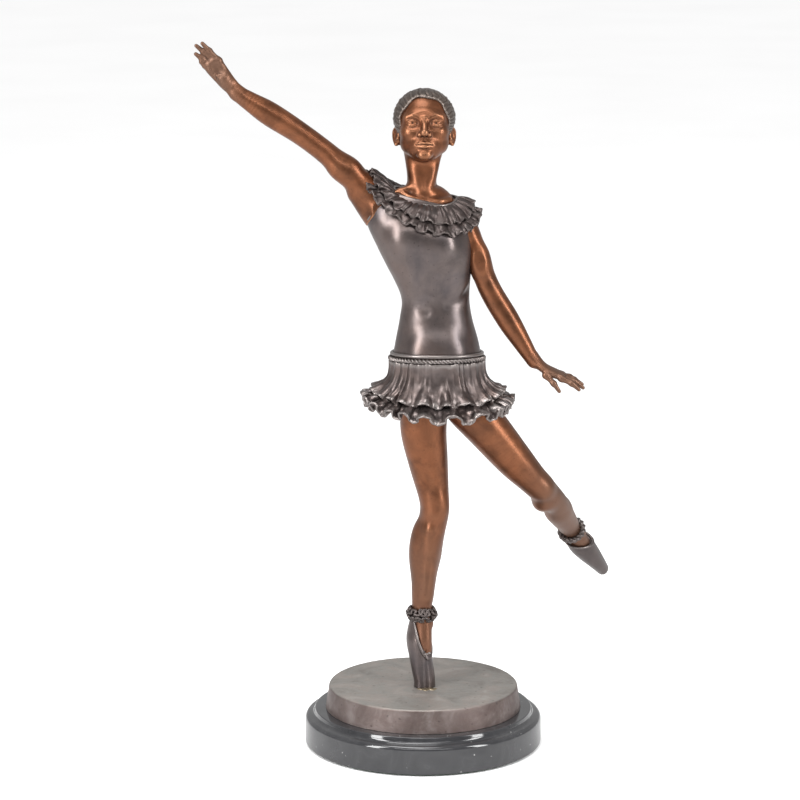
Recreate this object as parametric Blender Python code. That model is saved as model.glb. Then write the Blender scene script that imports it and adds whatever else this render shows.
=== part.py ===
"""Bronze statuette of a dancer on one toe, on a bronze plinth and a round marble base.

Metres, +Z up. The origin is the centre of the base's underside, and the dancer faces -Y.
The figure is cast in sections by the lost-wax method. Each section has a round tenon (a roman
joint) that enters its neighbour, and the sections are pinned, welded and chased. The pointed
shoe stands on a stud through the plinth, and three bolts hold the plinth to the marble.
"""

import math

import bmesh
import bpy
from mathutils import Matrix, Vector

GAP = 0.0003                       # clearance between pieces that touch

# Base
FELT_THICKNESS = 0.0015
FELT_INSET = 0.004
MARBLE_RADIUS = 0.108
MARBLE_HEIGHT = 0.0318
MARBLE_RIM_HEIGHT = 0.0250         # height of the straight side, below the moulded edge
MARBLE_SHOULDER = 0.0090           # width of the moulded edge
MARBLE_CHAMFER = 0.0012
PLINTH_MARGIN = 0.0097             # flat marble left showing round the plinth
PLINTH_RADIUS = MARBLE_RADIUS - MARBLE_SHOULDER - PLINTH_MARGIN
PLINTH_TAPER = 0.0030              # how much narrower the plinth is at its top
PLINTH_HEIGHT = 0.0212
PLINTH_WALL = 0.0045
PLINTH_EDGE = 0.0016               # soft top edge

# Fasteners
BOLT_COUNT = 3
BOLT_CIRCLE = PLINTH_RADIUS * 0.627  # radius of the ring of bolts
FIRST_BOLT = math.radians(92)      # which way the first bolt lies
BOLT_DIAMETER = 0.006
BOLT_HEAD_DIAMETER = 0.010
BOLT_HEAD_HEIGHT = 0.0040
BOLT_ENGAGEMENT = 0.010            # thread length inside the boss
BOSS_DIAMETER = 0.016
COUNTERBORE_DIAMETER = 0.0165
COUNTERBORE_DEPTH = 0.0085
WASHER_THICKNESS = 0.0016
WASHER_DIAMETER = 0.0130
HOLE_CLEARANCE = 0.0005            # on the radius, bolt to hole
STUD_DIAMETER = 0.006
STUD_IN_SHOE = 0.016
STUD_TAIL = 0.0095                 # below the plinth's top plate
NUT_WIDTH = 0.010
NUT_HEIGHT = 0.0050

# Figure
FIGURE_HEIGHT = 0.590              # plinth top to the highest fingertip
SKELETON_HEIGHT = 0.590            # what the points below were laid out for
CAST_WALL = 0.0035                 # thickness of the hollow torso and head
TENON_LENGTH = 0.012               # on each side of the seam
LEG_TENON_RADIUS = 0.009
ARM_TENON_RADIUS = 0.007
FRILL_THICKNESS = 0.0022           # at the figure's laid-out size
HAIR_THICKNESS = 0.0024

SCALE = FIGURE_HEIGHT / SKELETON_HEIGHT
MARBLE_BOTTOM = FELT_THICKNESS + GAP
MARBLE_TOP = MARBLE_BOTTOM + MARBLE_HEIGHT
PLINTH_BOTTOM = MARBLE_TOP + GAP
PLINTH_TOP = PLINTH_BOTTOM + PLINTH_HEIGHT

BAIZE = ((0.030, 0.075, 0.040), 0.95, 0.0)             # colour, roughness, metal
STEEL = ((0.55, 0.55, 0.56), 0.35, 1.0)
PATINA = ((0.115, 0.092, 0.086), 0.38, 1.0)
SKIN = ((0.33, 0.135, 0.060), 0.34, 1.0)
HAIR = ((0.125, 0.085, 0.062), 0.42, 1.0)


def figure(x, y, z):
    """A point of the figure: x and y from the plinth's axis, z above the plinth's top."""
    return Vector((x * SCALE, y * SCALE, PLINTH_TOP + z * SCALE))


# Shapes

def material(name, look):
    colour, roughness, metallic = look
    made = bpy.data.materials.new(name)
    made.use_nodes = True
    shader = made.node_tree.nodes["Principled BSDF"]
    shader.inputs["Base Color"].default_value = (*colour, 1.0)
    shader.inputs["Roughness"].default_value = roughness
    shader.inputs["Metallic"].default_value = metallic
    return made


def finish_piece(name, bm, look):
    """Turns a bmesh into a named object with its own material."""
    bmesh.ops.recalc_face_normals(bm, faces=bm.faces)
    mesh = bpy.data.meshes.new(name)
    bm.to_mesh(mesh)
    bm.free()
    mesh.shade_smooth()
    mesh.set_sharp_from_angle(angle=math.radians(40))
    piece = bpy.data.objects.new(name, mesh)
    bpy.context.scene.collection.objects.link(piece)
    if look:
        mesh.materials.append(material(name, look))
    return piece


def skin_rings(bm, rings):
    """Joins rings of equal count with quads and closes both ends."""
    loops = [[bm.verts.new(point) for point in ring] for ring in rings]
    count = len(loops[0])
    for low, high in zip(loops, loops[1:]):
        for i in range(count):
            j = (i + 1) % count
            bm.faces.new((low[i], low[j], high[j], high[i]))
    bm.faces.new(loops[0][::-1])
    bm.faces.new(loops[-1])


def spline(values, steps):
    """Points of a Catmull-Rom curve through tuples of numbers, with the given steps a span."""
    ends = [values[0], *values, values[-1]]
    curve = []
    for before, start, stop, after in zip(ends, ends[1:], ends[2:], ends[3:]):
        for step in range(steps):
            t = step / steps
            curve.append(tuple(
                0.5 * (2 * b + (c - a) * t + (2 * a - 5 * b + 4 * c - d) * t * t
                       + (3 * b - a - 3 * c + d) * t ** 3)
                for a, b, c, d in zip(before, start, stop, after)))
    curve.append(tuple(values[-1]))
    return curve


def limb_rings(stations, front, sides, steps, grow=0.0, round_ends=(True, True)):
    """Rings of an organic form. A station is (x, y, z, half width, half depth) of the figure.

    The depth is measured along front, as nearly as the form's own direction allows.
    """
    curve = spline(stations, steps)
    centres = [figure(*point[:3]) for point in curve]
    sizes = [(point[3] * SCALE + grow, point[4] * SCALE + grow) for point in curve]
    frames = []
    for i, centre in enumerate(centres):
        along = (centres[min(i + 1, len(centres) - 1)] - centres[max(i - 1, 0)]).normalized()
        depth = (front - along * front.dot(along)).normalized()
        frames.append((centre, along, depth, depth.cross(along)))
    frames = [(c, a, d, w, *size) for (c, a, d, w), size in zip(frames, sizes)]
    if round_ends[0]:
        c, a, d, w, wide, deep = frames[0]
        frames.insert(0, (c - a * 0.55 * min(wide, deep), a, d, w, wide * 0.62, deep * 0.62))
    if round_ends[1]:
        c, a, d, w, wide, deep = frames[-1]
        frames.append((c + a * 0.55 * min(wide, deep), a, d, w, wide * 0.62, deep * 0.62))
    return [
        [centre + wide_way * wide * math.cos(turn) + depth * deep * math.sin(turn)
         for turn in (2 * math.pi * i / sides for i in range(sides))]
        for centre, _, depth, wide_way, wide, deep in frames
    ]


def limb(name, stations, look, front=Vector((0, -1, 0)), sides=12, steps=1, grow=0.0,
         round_ends=(True, True)):
    bm = bmesh.new()
    skin_rings(bm, limb_rings(stations, front, sides, steps, grow, round_ends))
    return finish_piece(name, bm, look)


def cylinder(name, start, direction, radius, length, look, sides=16):
    """A round bar from start along direction."""
    way = direction.normalized()
    turn = way.to_track_quat("Z", "Y").to_matrix().to_4x4()
    bm = bmesh.new()
    bmesh.ops.create_cone(
        bm, cap_ends=True, segments=sides, radius1=radius, radius2=radius, depth=length,
        matrix=Matrix.Translation(start + way * length / 2) @ turn)
    return finish_piece(name, bm, look)


def turned(name, profile, look, sides=64):
    """A solid of revolution about +Z. The profile runs down its outer side from the axis."""
    bm = bmesh.new()
    verts = [bm.verts.new((radius, 0.0, height)) for radius, height in profile]
    edges = [bm.edges.new(pair) for pair in zip(verts, verts[1:])]
    bmesh.ops.spin(bm, geom=verts + edges, axis=(0, 0, 1), cent=(0, 0, 0),
                   angle=2 * math.pi, steps=sides, use_merge=True)
    bmesh.ops.remove_doubles(bm, verts=bm.verts, dist=1e-6)
    return finish_piece(name, bm, look)


def ellipsoid(name, centre, radii, look, tilt=0.0, rings=10, sides=16):
    """An egg form, leaning by tilt about the X axis."""
    turn = Matrix.Rotation(tilt, 4, "X")
    shape = Matrix.Diagonal((*radii, 1.0))
    bm = bmesh.new()
    bmesh.ops.create_uvsphere(bm, u_segments=sides, v_segments=rings, radius=1.0,
                              matrix=Matrix.Translation(centre) @ turn @ shape)
    return finish_piece(name, bm, look)


def combine(piece, tool, operation):
    """Joins, cuts or trims a piece with a tool, which is then only a guide."""
    step = piece.modifiers.new(f"{operation.lower()}_{tool.name}", "BOOLEAN")
    step.operation = operation
    step.solver = "EXACT"
    step.use_self = piece.name.endswith("frill")      # its waves may brush each other
    step.object = tool
    tool.hide_render = True
    tool.display_type = "WIRE"
    return piece


def cut(piece, *tools):
    for tool in tools:
        combine(piece, tool, "DIFFERENCE")
    return piece


def join(piece, *tools):
    for tool in tools:
        combine(piece, tool, "UNION")
    return piece


def roman_joint(piece, host, seam, way, radius):
    """Gives the piece a tenon through the seam, along way, and its host the socket."""
    way = way.normalized()
    inside = seam - way * TENON_LENGTH
    tenon = cylinder(f"guide_tenon_{piece.name}", inside, way, radius, 2 * TENON_LENGTH, None)
    socket = cylinder(f"guide_socket_{piece.name}", inside - way * GAP, way, radius + GAP,
                      2 * TENON_LENGTH + 2 * GAP, None)
    join(piece, tenon)
    cut(host, socket)


def frill(name, look, centre, inner, outer, waves, wave_height, steps_per_wave=3, lift=0.0,
          phase=0.0, rows=2, grow=0.0):
    """A ruffle: a sheet of bronze between two rings, waving more towards its free edge.

    inner and outer give a point of the ring for an angle. Each section across the sheet has
    the same thickness, and the outer edge is turned over slightly.
    """
    bm = bmesh.new()
    count = waves * steps_per_wave
    sections = []
    for i in range(count):
        turn = 2 * math.pi * i / count
        start, stop = inner(turn), outer(turn)
        across = (stop - start).normalized()
        start, stop = start - across * grow, stop + across * grow
        round_way = Vector((-math.sin(turn), math.cos(turn), 0.0))
        up = round_way.cross(across).normalized() * -1
        if up.dot(start + Vector((0, 0, 0.05 * SCALE)) - centre) < 0:
            up.negate()
        top, bottom = [], []
        for row in range(rows + 1):
            share = row / rows
            wave = math.sin(waves * turn + phase) * wave_height * share
            place = start.lerp(stop, share) + up * (wave + lift * math.sin(math.pi * share))
            top.append(place + up * (FRILL_THICKNESS * SCALE / 2 + grow))
            bottom.append(place - up * (FRILL_THICKNESS * SCALE / 2 + grow))
        sections.append([bm.verts.new(point) for point in top + bottom[::-1]])
    for low, high in zip(sections, sections[1:] + sections[:1]):
        size = len(low)
        for j in range(size):
            k = (j + 1) % size
            bm.faces.new((low[j], low[k], high[k], high[j]))
    return finish_piece(name, bm, look)


def oval(centre, half_width, half_depth, rise_side, rise_front, rise_back):
    """A ring round the body: rise_side lifts +X, the others lift the front and the back."""
    def point(turn):
        across, deep = math.cos(turn), math.sin(turn)
        rise = rise_side * across + (rise_front * -deep if deep < 0 else rise_back * deep)
        return figure(centre[0] + half_width * across, centre[1] + half_depth * deep,
                      centre[2] + rise)
    return point


# The base

def build_base():
    cylinder("felt_pad", Vector((0, 0, 0)), Vector((0, 0, 1)), MARBLE_RADIUS - FELT_INSET,
             FELT_THICKNESS, BAIZE, sides=64)

    rim = MARBLE_RADIUS - MARBLE_SHOULDER
    bead = MARBLE_BOTTOM + MARBLE_RIM_HEIGHT
    marble = turned("marble_base", [
        (0.0, MARBLE_TOP),
        (rim - 0.001, MARBLE_TOP),
        (rim, MARBLE_TOP - 0.0008),
        (rim + 0.0015, bead + 0.0042),
        (rim + 0.0045, bead + 0.0026),
        (rim + 0.0062, bead + 0.0022),
        (MARBLE_RADIUS - 0.0022, bead + 0.0014),
        (MARBLE_RADIUS - 0.0006, bead),
        (MARBLE_RADIUS, bead - 0.0022),
        (MARBLE_RADIUS, MARBLE_BOTTOM + MARBLE_CHAMFER),
        (MARBLE_RADIUS - MARBLE_CHAMFER, MARBLE_BOTTOM),
        (0.0, MARBLE_BOTTOM),
    ], ((0.012, 0.012, 0.014), 0.12, 0.0))

    top = PLINTH_RADIUS - PLINTH_TAPER
    inside = PLINTH_RADIUS - PLINTH_WALL
    ceiling = PLINTH_TOP - PLINTH_WALL
    plinth = turned("plinth", [
        (0.0, PLINTH_TOP),
        (top - PLINTH_EDGE, PLINTH_TOP),
        (top - PLINTH_EDGE * 0.3, PLINTH_TOP - PLINTH_EDGE * 0.3),
        (top, PLINTH_TOP - PLINTH_EDGE),
        (PLINTH_RADIUS, PLINTH_BOTTOM),
        (inside, PLINTH_BOTTOM),
        (top - PLINTH_WALL, ceiling),
        (0.0, ceiling),
    ], PATINA, sides=56)

    up = Vector((0, 0, 1))
    seat = MARBLE_BOTTOM + COUNTERBORE_DEPTH
    for i in range(BOLT_COUNT):
        turn = FIRST_BOLT + 2 * math.pi * i / BOLT_COUNT
        place = Vector((BOLT_CIRCLE * math.cos(turn), BOLT_CIRCLE * math.sin(turn), 0))
        shank = BOLT_DIAMETER / 2
        number = i + 1

        boss = cylinder(f"guide_boss_{number}", place + up * PLINTH_BOTTOM, up,
                        BOSS_DIAMETER / 2, ceiling - PLINTH_BOTTOM + PLINTH_WALL / 2, None)
        tapped = cylinder(f"guide_tapped_{number}", place + up * (PLINTH_BOTTOM - 0.001), up,
                          shank + GAP, BOLT_ENGAGEMENT + 0.002, None)
        cut(join(plinth, boss), tapped)

        bore = cylinder(f"guide_bore_{number}", place, up, shank + HOLE_CLEARANCE,
                        MARBLE_TOP + 0.001, None)
        counterbore = cylinder(f"guide_counterbore_{number}", place, up,
                               COUNTERBORE_DIAMETER / 2, seat, None)
        cut(marble, bore, counterbore)

        under = seat - GAP
        washer = cylinder(f"plinth_washer_{number}", place + up * (under - WASHER_THICKNESS), up,
                          WASHER_DIAMETER / 2, WASHER_THICKNESS, STEEL)
        hole = cylinder(f"guide_washer_hole_{number}", place, up, shank + HOLE_CLEARANCE,
                        MARBLE_TOP, None)
        cut(washer, hole)

        head_top = under - WASHER_THICKNESS - GAP
        bolt = cylinder(f"plinth_bolt_{number}", place + up * (head_top - BOLT_HEAD_HEIGHT), up,
                        BOLT_HEAD_DIAMETER / 2, BOLT_HEAD_HEIGHT, STEEL)
        thread_end = PLINTH_BOTTOM + BOLT_ENGAGEMENT
        thread = cylinder(f"guide_thread_{number}", place + up * (head_top - 0.001), up, shank,
                          thread_end - head_top + 0.001, None)
        socket = cylinder(f"guide_key_{number}",
                          place + up * (head_top - BOLT_HEAD_HEIGHT - 0.001), up,
                          BOLT_HEAD_DIAMETER * 0.27, 0.001 + BOLT_HEAD_HEIGHT * 0.6, None,
                          sides=6)
        cut(join(bolt, thread), socket)
    return plinth


# The toe stud

TOE = (0.0012, -0.0100)            # where the toe stands, from the plinth's axis


def build_toe_stud(plinth, shoe):
    place = figure(TOE[0], TOE[1], 0.0)
    up = Vector((0, 0, 1))
    radius = STUD_DIAMETER / 2
    stud = cylinder("toe_stud", place - up * (PLINTH_WALL + STUD_TAIL), up, radius,
                    PLINTH_WALL + STUD_TAIL + STUD_IN_SHOE * SCALE, STEEL)
    hole = cylinder("guide_stud_hole", place - up * (PLINTH_WALL + STUD_TAIL + GAP), up,
                    radius + GAP, PLINTH_WALL + STUD_TAIL + STUD_IN_SHOE * SCALE + 2 * GAP, None)
    cut(plinth, hole)
    cut(shoe, hole)

    ceiling = -PLINTH_WALL - GAP
    washer = cylinder("toe_stud_washer", place + up * (ceiling - WASHER_THICKNESS), up,
                      WASHER_DIAMETER / 2, WASHER_THICKNESS, STEEL)
    nut_top = ceiling - WASHER_THICKNESS - GAP
    nut = cylinder("toe_stud_nut", place + up * (nut_top - NUT_HEIGHT), up,
                   NUT_WIDTH / math.sqrt(3), NUT_HEIGHT, STEEL, sides=6)
    cut(washer, hole)
    cut(nut, hole)
    return stud


# The legs

BACK_OF_STANDING_FOOT = Vector((-0.55, 0.83, 0.0))

STANDING_LEG = [
    (0.002, 0.002, 0.270, 0.0215, 0.0225),
    (0.000, 0.003, 0.239, 0.0207, 0.0215),
    (0.004, 0.003, 0.209, 0.0177, 0.0190),
    (0.0095, 0.002, 0.174, 0.0132, 0.0145),
    (0.0095, 0.001, 0.158, 0.0127, 0.0140),
    (0.0043, 0.002, 0.134, 0.0124, 0.0150),
    (0.0018, 0.003, 0.117, 0.0124, 0.0145),
    (-0.0002, 0.000, 0.090, 0.0100, 0.0115),
    (-0.0012, -0.002, 0.072, 0.0088, 0.0098),
    (-0.0015, -0.003, 0.056, 0.0085, 0.0110),
    (-0.0010, -0.006, 0.040, 0.0082, 0.0105),
    (0.0005, -0.009, 0.022, 0.0078, 0.0070),
]
STANDING_FOOT = [
    (-0.0028, -0.0020, 0.0565, 0.0085, 0.0110),
    (-0.0040, -0.0027, 0.0480, 0.0098, 0.0133),
    (-0.0040, -0.0045, 0.0400, 0.0105, 0.0130),
    (-0.0022, -0.0070, 0.0270, 0.0105, 0.0105),
    (0.0000, -0.0090, 0.0140, 0.0105, 0.0090),
    (0.0012, -0.0100, 0.0003, 0.0105, 0.0090),
]

RAISED_LEG_FRONT = Vector((0.62, -0.30, 0.45))
RAISED_LEG = [
    (0.024, 0.001, 0.280, 0.0170, 0.0180),
    (0.038, 0.002, 0.261, 0.0195, 0.0210),
    (0.0565, 0.004, 0.2395, 0.0190, 0.0200),
    (0.0812, 0.009, 0.2090, 0.0165, 0.0172),
    (0.0955, 0.013, 0.1915, 0.0142, 0.0148),
    (0.1095, 0.021, 0.1755, 0.0128, 0.0128),
    (0.1195, 0.037, 0.1605, 0.0120, 0.0120),
    (0.1270, 0.058, 0.1460, 0.0118, 0.0122),
    (0.1340, 0.077, 0.1325, 0.0102, 0.0105),
    (0.1393, 0.091, 0.1217, 0.0087, 0.0088),
    (0.1465, 0.102, 0.1090, 0.0082, 0.0092),
    (0.1550, 0.116, 0.0940, 0.0078, 0.0080),
]
RAISED_FOOT = [
    (0.1428, 0.0965, 0.1153, 0.0090, 0.0098),
    (0.1485, 0.1060, 0.1050, 0.0099, 0.0118),
    (0.1560, 0.1165, 0.0942, 0.0098, 0.0105),
    (0.1642, 0.1280, 0.0828, 0.0088, 0.0080),
    (0.1712, 0.1390, 0.0723, 0.0070, 0.0060),
]


def shoe(name, foot, leg, leg_front, opening, opening_radii, flat_toe):
    """A slipper round the foot: a shell with the instep left open.

    The foot itself is the end of the leg's casting, so the shell is cut by a grown leg.
    """
    shell = limb(name, foot, PATINA, front=leg_front, round_ends=(False, not flat_toe))
    inside = limb(f"guide_inside_{name}", leg, None, front=leg_front, grow=2 * GAP)
    mouth = ellipsoid(f"guide_mouth_{name}", opening, opening_radii, None)
    return cut(shell, inside, mouth)


def ankle_frill(name, centre, axis, radius, leg, leg_front):
    """A gathered garter: a fat twisted ring round the ankle, cut to fit it."""
    bm = bmesh.new()
    turn_to_axis = axis.to_track_quat("Z", "Y").to_matrix()
    folds, steps_per_fold, sides = 10, 3, 6
    sections = []
    for i in range(folds * steps_per_fold):
        turn = 2 * math.pi * i / (folds * steps_per_fold)
        fat = 1.0 + 0.16 * math.sin(folds * turn)
        section = []
        for j in range(sides):
            round_it = 2 * math.pi * j / sides
            out = radius + 0.0034 * SCALE * fat * math.cos(round_it)
            up = 0.0056 * SCALE * fat * math.sin(round_it)
            section.append(bm.verts.new(
                centre + turn_to_axis @ Vector((out * math.cos(turn), out * math.sin(turn), up))))
        sections.append(section)
    for low, high in zip(sections, sections[1:] + sections[:1]):
        for j in range(sides):
            k = (j + 1) % sides
            bm.faces.new((low[j], high[j], high[k], low[k]))
    ring = finish_piece(name, bm, PATINA)
    inside = limb(f"guide_ankle_{name}", leg, None, front=leg_front, grow=2 * GAP)
    return cut(ring, inside)


def build_legs(pelvis):
    heel = BACK_OF_STANDING_FOOT
    standing = limb("standing_leg", STANDING_LEG, SKIN, front=heel)
    raised = limb("raised_leg", RAISED_LEG, SKIN, front=RAISED_LEG_FRONT)
    for leg, seam, knee in ((standing, (0.002, 0.002, 0.250), STANDING_LEG[3]),
                            (raised, (0.044, 0.002, 0.254), RAISED_LEG[4])):
        cut(leg, bpy.data.objects["guide_body_grown"])
        roman_joint(leg, pelvis, figure(*seam), figure(*knee[:3]) - figure(*seam),
                    LEG_TENON_RADIUS * SCALE)

    standing_shoe = shoe("standing_slipper", STANDING_FOOT, STANDING_LEG, heel,
                         figure(0.0085, -0.0150, 0.050), [r * SCALE for r in (0.009, 0.012, 0.021)],
                         flat_toe=True)
    floor = cylinder("guide_plinth_face", figure(0, 0, 0) - Vector((0, 0, 0.02)),
                     Vector((0, 0, 1)), MARBLE_RADIUS, 0.02 + GAP, None)
    cut(standing_shoe, floor)
    shoe("raised_slipper", RAISED_FOOT, RAISED_LEG, RAISED_LEG_FRONT,
         figure(0.1560, 0.1010, 0.1080), [r * SCALE for r in (0.010, 0.010, 0.010)],
         flat_toe=False)
    ankle_frill("standing_ankle_frill", figure(-0.0014, -0.0025, 0.0668), Vector((0.02, 0, 1)),
                0.0105 * SCALE, STANDING_LEG, heel)
    low, high = figure(*RAISED_LEG[9][:3]), figure(*RAISED_LEG[8][:3])
    ankle_frill("raised_ankle_frill", low, high - low, 0.0105 * SCALE, RAISED_LEG,
                RAISED_LEG_FRONT)
    return standing_shoe


# The torso, which is the bodice and the hips in one hollow casting

TORSO = [
    (0.014, 0.002, 0.243, 0.022, 0.017),
    (0.014, 0.002, 0.254, 0.033, 0.024),
    (0.013, 0.002, 0.272, 0.040, 0.029),
    (0.012, 0.002, 0.296, 0.041, 0.030),
    (0.012, 0.001, 0.318, 0.0375, 0.027),
    (0.011, 0.000, 0.340, 0.0325, 0.024),
    (0.0105, 0.000, 0.358, 0.0305, 0.0225),
    (0.0083, -0.001, 0.378, 0.0336, 0.0240),
    (0.0030, -0.002, 0.402, 0.0408, 0.0268),
    (-0.0020, -0.001, 0.420, 0.0448, 0.0275),
    (-0.0035, 0.001, 0.434, 0.0448, 0.0255),
    (-0.001, 0.003, 0.446, 0.0350, 0.0215),
    (0.0015, 0.004, 0.452, 0.0250, 0.0180),
]
SHOULDER_TILT = math.radians(-13)  # the raised arm lifts its shoulder
TILT_STARTS = 0.385                # height of the ring where the tilt begins


def torso_rings(sides, grow=0.0, wall=0.0, extend=0.0):
    """The torso's rings, level at the hips and tilted at the shoulders."""
    curve = TORSO
    top = TORSO[-1][2]
    rings = []
    for x, y, z, wide, deep in curve:
        share = min(max((z - TILT_STARTS) / (top - TILT_STARTS), 0.0), 1.0)
        tilt = SHOULDER_TILT * share
        centre = figure(x, y, z)
        ring = []
        for i in range(sides):
            turn = 2 * math.pi * i / sides
            across = (wide * SCALE + grow - wall) * math.cos(turn)
            ring.append(centre + Vector((across * math.cos(tilt),
                                         (deep * SCALE + grow - wall) * math.sin(turn),
                                         across * math.sin(tilt))))
        rings.append(ring)
    if extend:
        rings[0] = [point - Vector((0, 0, extend)) for point in rings[0]]
        rings[-1] = [point + Vector((0, 0, extend)) for point in rings[-1]]
    return rings


def torso_form(name, look, sides=20, **sizes):
    bm = bmesh.new()
    skin_rings(bm, torso_rings(sides, **sizes))
    return finish_piece(name, bm, look)


def build_torso():
    torso_form("guide_body_grown", None, grow=GAP, extend=GAP)
    torso = torso_form("bodice", PATINA)
    hollow = torso_form("guide_hollow", None, sides=14, wall=CAST_WALL, extend=CAST_WALL * 2)
    return cut(torso, hollow)


# Skirt and collar

def build_cord():
    """The twisted cord round the hips: a rope whose strands show as slanting beads."""
    centre = (0.012, 0.0015, 0.3055)
    ring = oval(centre, 0.0418, 0.0308, 0.0, 0.0025, -0.0010)
    strands, steps, sides, radius = 24, 2, 6, 0.0019 * SCALE
    bm = bmesh.new()
    sections = []
    count = strands * steps
    for i in range(count):
        turn = 2 * math.pi * i / count
        place = ring(turn)
        outward = Vector((math.cos(turn), math.sin(turn), 0))
        fat = radius * (1.0 + 0.18 * math.sin(strands * turn))
        sections.append([
            bm.verts.new(place + outward * fat * math.cos(side)
                         + Vector((0, 0, fat * math.sin(side))))
            for side in (2 * math.pi * j / sides for j in range(sides))])
    for low, high in zip(sections, sections[1:] + sections[:1]):
        for j in range(sides):
            k = (j + 1) % sides
            bm.faces.new((low[j], high[j], high[k], low[k]))
    cord = finish_piece("hip_cord", bm, PATINA)
    return cut(cord, bpy.data.objects["guide_body_grown"])


def build_skirt():
    centre = figure(0.012, 0.0, 0.270)
    body = bpy.data.objects["guide_body_grown"]
    waist = oval((0.012, 0.0015, 0.3010), 0.0440, 0.0330, 0.0, 0.0020, -0.0010)
    upper_hem = oval((0.0125, 0.002, 0.2760), 0.0610, 0.0470, -0.001, -0.0070, -0.004)
    upper_tier = (centre, waist, upper_hem, 20, 0.0016 * SCALE, 3, -0.0040 * SCALE)
    upper = frill("skirt_upper_frill", PATINA, *upper_tier, rows=3)
    under_upper = frill("guide_under_upper_tier", None, *upper_tier, rows=3, grow=GAP)
    band_height = 0.2782 - FRILL_THICKNESS            # just inside the upper hem
    band = oval((0.012, 0.0015, band_height), 0.0475, 0.0360, 0.0, -0.0040, -0.002)
    lower_hem = oval((0.0125, 0.002, band_height - 0.0105), 0.0690, 0.0550,
                     -0.0025, -0.0090, -0.006)
    lower = frill("skirt_lower_frill", PATINA, centre, band, lower_hem, 20, 0.0022 * SCALE,
                  phase=1.3)
    thigh_guides = [
        limb("guide_thigh_standing", STANDING_LEG, None, front=BACK_OF_STANDING_FOOT, grow=GAP),
        limb("guide_thigh_raised", RAISED_LEG, None, front=RAISED_LEG_FRONT, grow=GAP),
    ]
    cut(upper, body)
    cut(lower, body, under_upper, *thigh_guides)


def build_collar():
    body = bpy.data.objects["guide_body_grown"]
    centre = figure(0.0, 0.004, 0.440)
    neck_height, edge_height = 0.4530, 0.4605
    band_drop, edge_drop = 1.14, 2.05                 # in thicknesses of the frill
    neck_line = oval((0.0015, 0.003, neck_height), 0.0275, 0.0205, -0.0045, -0.0085, -0.002)
    upper_edge = oval((-0.001, 0.002, edge_height), 0.0460, 0.0330, -0.0185, -0.0305, -0.018)
    upper_tier = (centre, neck_line, upper_edge, 20, 0.0016 * SCALE, 3, 0.002 * SCALE)
    upper = frill("collar_upper_frill", PATINA, *upper_tier)
    under_upper = frill("guide_under_upper_collar", None, *upper_tier, grow=GAP)
    band = oval((0.0005, 0.003, neck_height - FRILL_THICKNESS * band_drop), 0.0330, 0.0250,
                -0.0090, -0.0150, -0.003)
    lower_edge = oval((-0.002, 0.001, edge_height - FRILL_THICKNESS * edge_drop), 0.0530, 0.0365,
                      -0.0215, -0.0360, -0.022)
    lower = frill("collar_lower_frill", PATINA, centre, band, lower_edge, 20, 0.0016 * SCALE,
                  lift=0.001 * SCALE, phase=1.6)
    cut(upper, body)
    cut(lower, body, under_upper)


# Arms

RAISED_ARM = [
    (-0.033, 0.001, 0.4385, 0.0130, 0.0145),
    (-0.049, 0.000, 0.4540, 0.0133, 0.0140),
    (-0.080, -0.001, 0.4835, 0.0104, 0.0108),
    (-0.1070, -0.003, 0.5050, 0.0100, 0.0098),
    (-0.1350, -0.006, 0.5237, 0.0108, 0.0098),
    (-0.1520, -0.008, 0.5348, 0.0088, 0.0078),
    (-0.1655, -0.009, 0.5438, 0.0068, 0.0055),
]
RAISED_PALM = [
    (-0.1640, -0.009, 0.5430, 0.0064, 0.0050),
    (-0.1740, -0.010, 0.5540, 0.0088, 0.0045),
    (-0.1830, -0.011, 0.5650, 0.0105, 0.0042),
    (-0.1870, -0.012, 0.5700, 0.0100, 0.0036),
]
RAISED_FINGERS = {
    "index": [(-0.1805, -0.012, 0.5720), (-0.1885, -0.014, 0.5810), (-0.1945, -0.017, 0.5880)],
    "middle": [(-0.1840, -0.012, 0.5720), (-0.1935, -0.013, 0.5800), (-0.2000, -0.015, 0.5858)],
    "ring": [(-0.1880, -0.012, 0.5690), (-0.1950, -0.013, 0.5740), (-0.2005, -0.015, 0.5785)],
    "little": [(-0.1880, -0.012, 0.5640), (-0.1945, -0.012, 0.5675), (-0.1985, -0.014, 0.5702)],
    "thumb": [(-0.1790, -0.013, 0.5580), (-0.1850, -0.017, 0.5620), (-0.1905, -0.020, 0.5655)],
}
LOWERED_ARM = [
    (0.028, 0.003, 0.4370, 0.0105, 0.0120),
    (0.0370, 0.001, 0.4240, 0.0102, 0.0122),
    (0.0460, 0.000, 0.4030, 0.0093, 0.0105),
    (0.0577, -0.002, 0.3697, 0.0100, 0.0098),
    (0.0752, -0.006, 0.3400, 0.0103, 0.0095),
    (0.0883, -0.009, 0.3190, 0.0082, 0.0075),
    (0.0985, -0.011, 0.3025, 0.0060, 0.0064),
]
LOWERED_PALM = [
    (0.0980, -0.011, 0.3055, 0.0056, 0.0060),
    (0.1070, -0.013, 0.2975, 0.0046, 0.0085),
    (0.1170, -0.014, 0.2925, 0.0044, 0.0100),
    (0.1230, -0.015, 0.2905, 0.0040, 0.0095),
]
LOWERED_FINGERS = {
    "index": [(0.1230, -0.023, 0.2895), (0.1320, -0.026, 0.2855), (0.1385, -0.027, 0.2800)],
    "middle": [(0.1240, -0.018, 0.2900), (0.1350, -0.020, 0.2860), (0.1425, -0.021, 0.2805)],
    "ring": [(0.1235, -0.012, 0.2900), (0.1345, -0.013, 0.2865), (0.1420, -0.013, 0.2820)],
    "little": [(0.1220, -0.007, 0.2900), (0.1310, -0.006, 0.2875), (0.1370, -0.005, 0.2845)],
    "thumb": [(0.1090, -0.021, 0.2920), (0.1160, -0.024, 0.2850), (0.1210, -0.025, 0.2780)],
}
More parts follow.
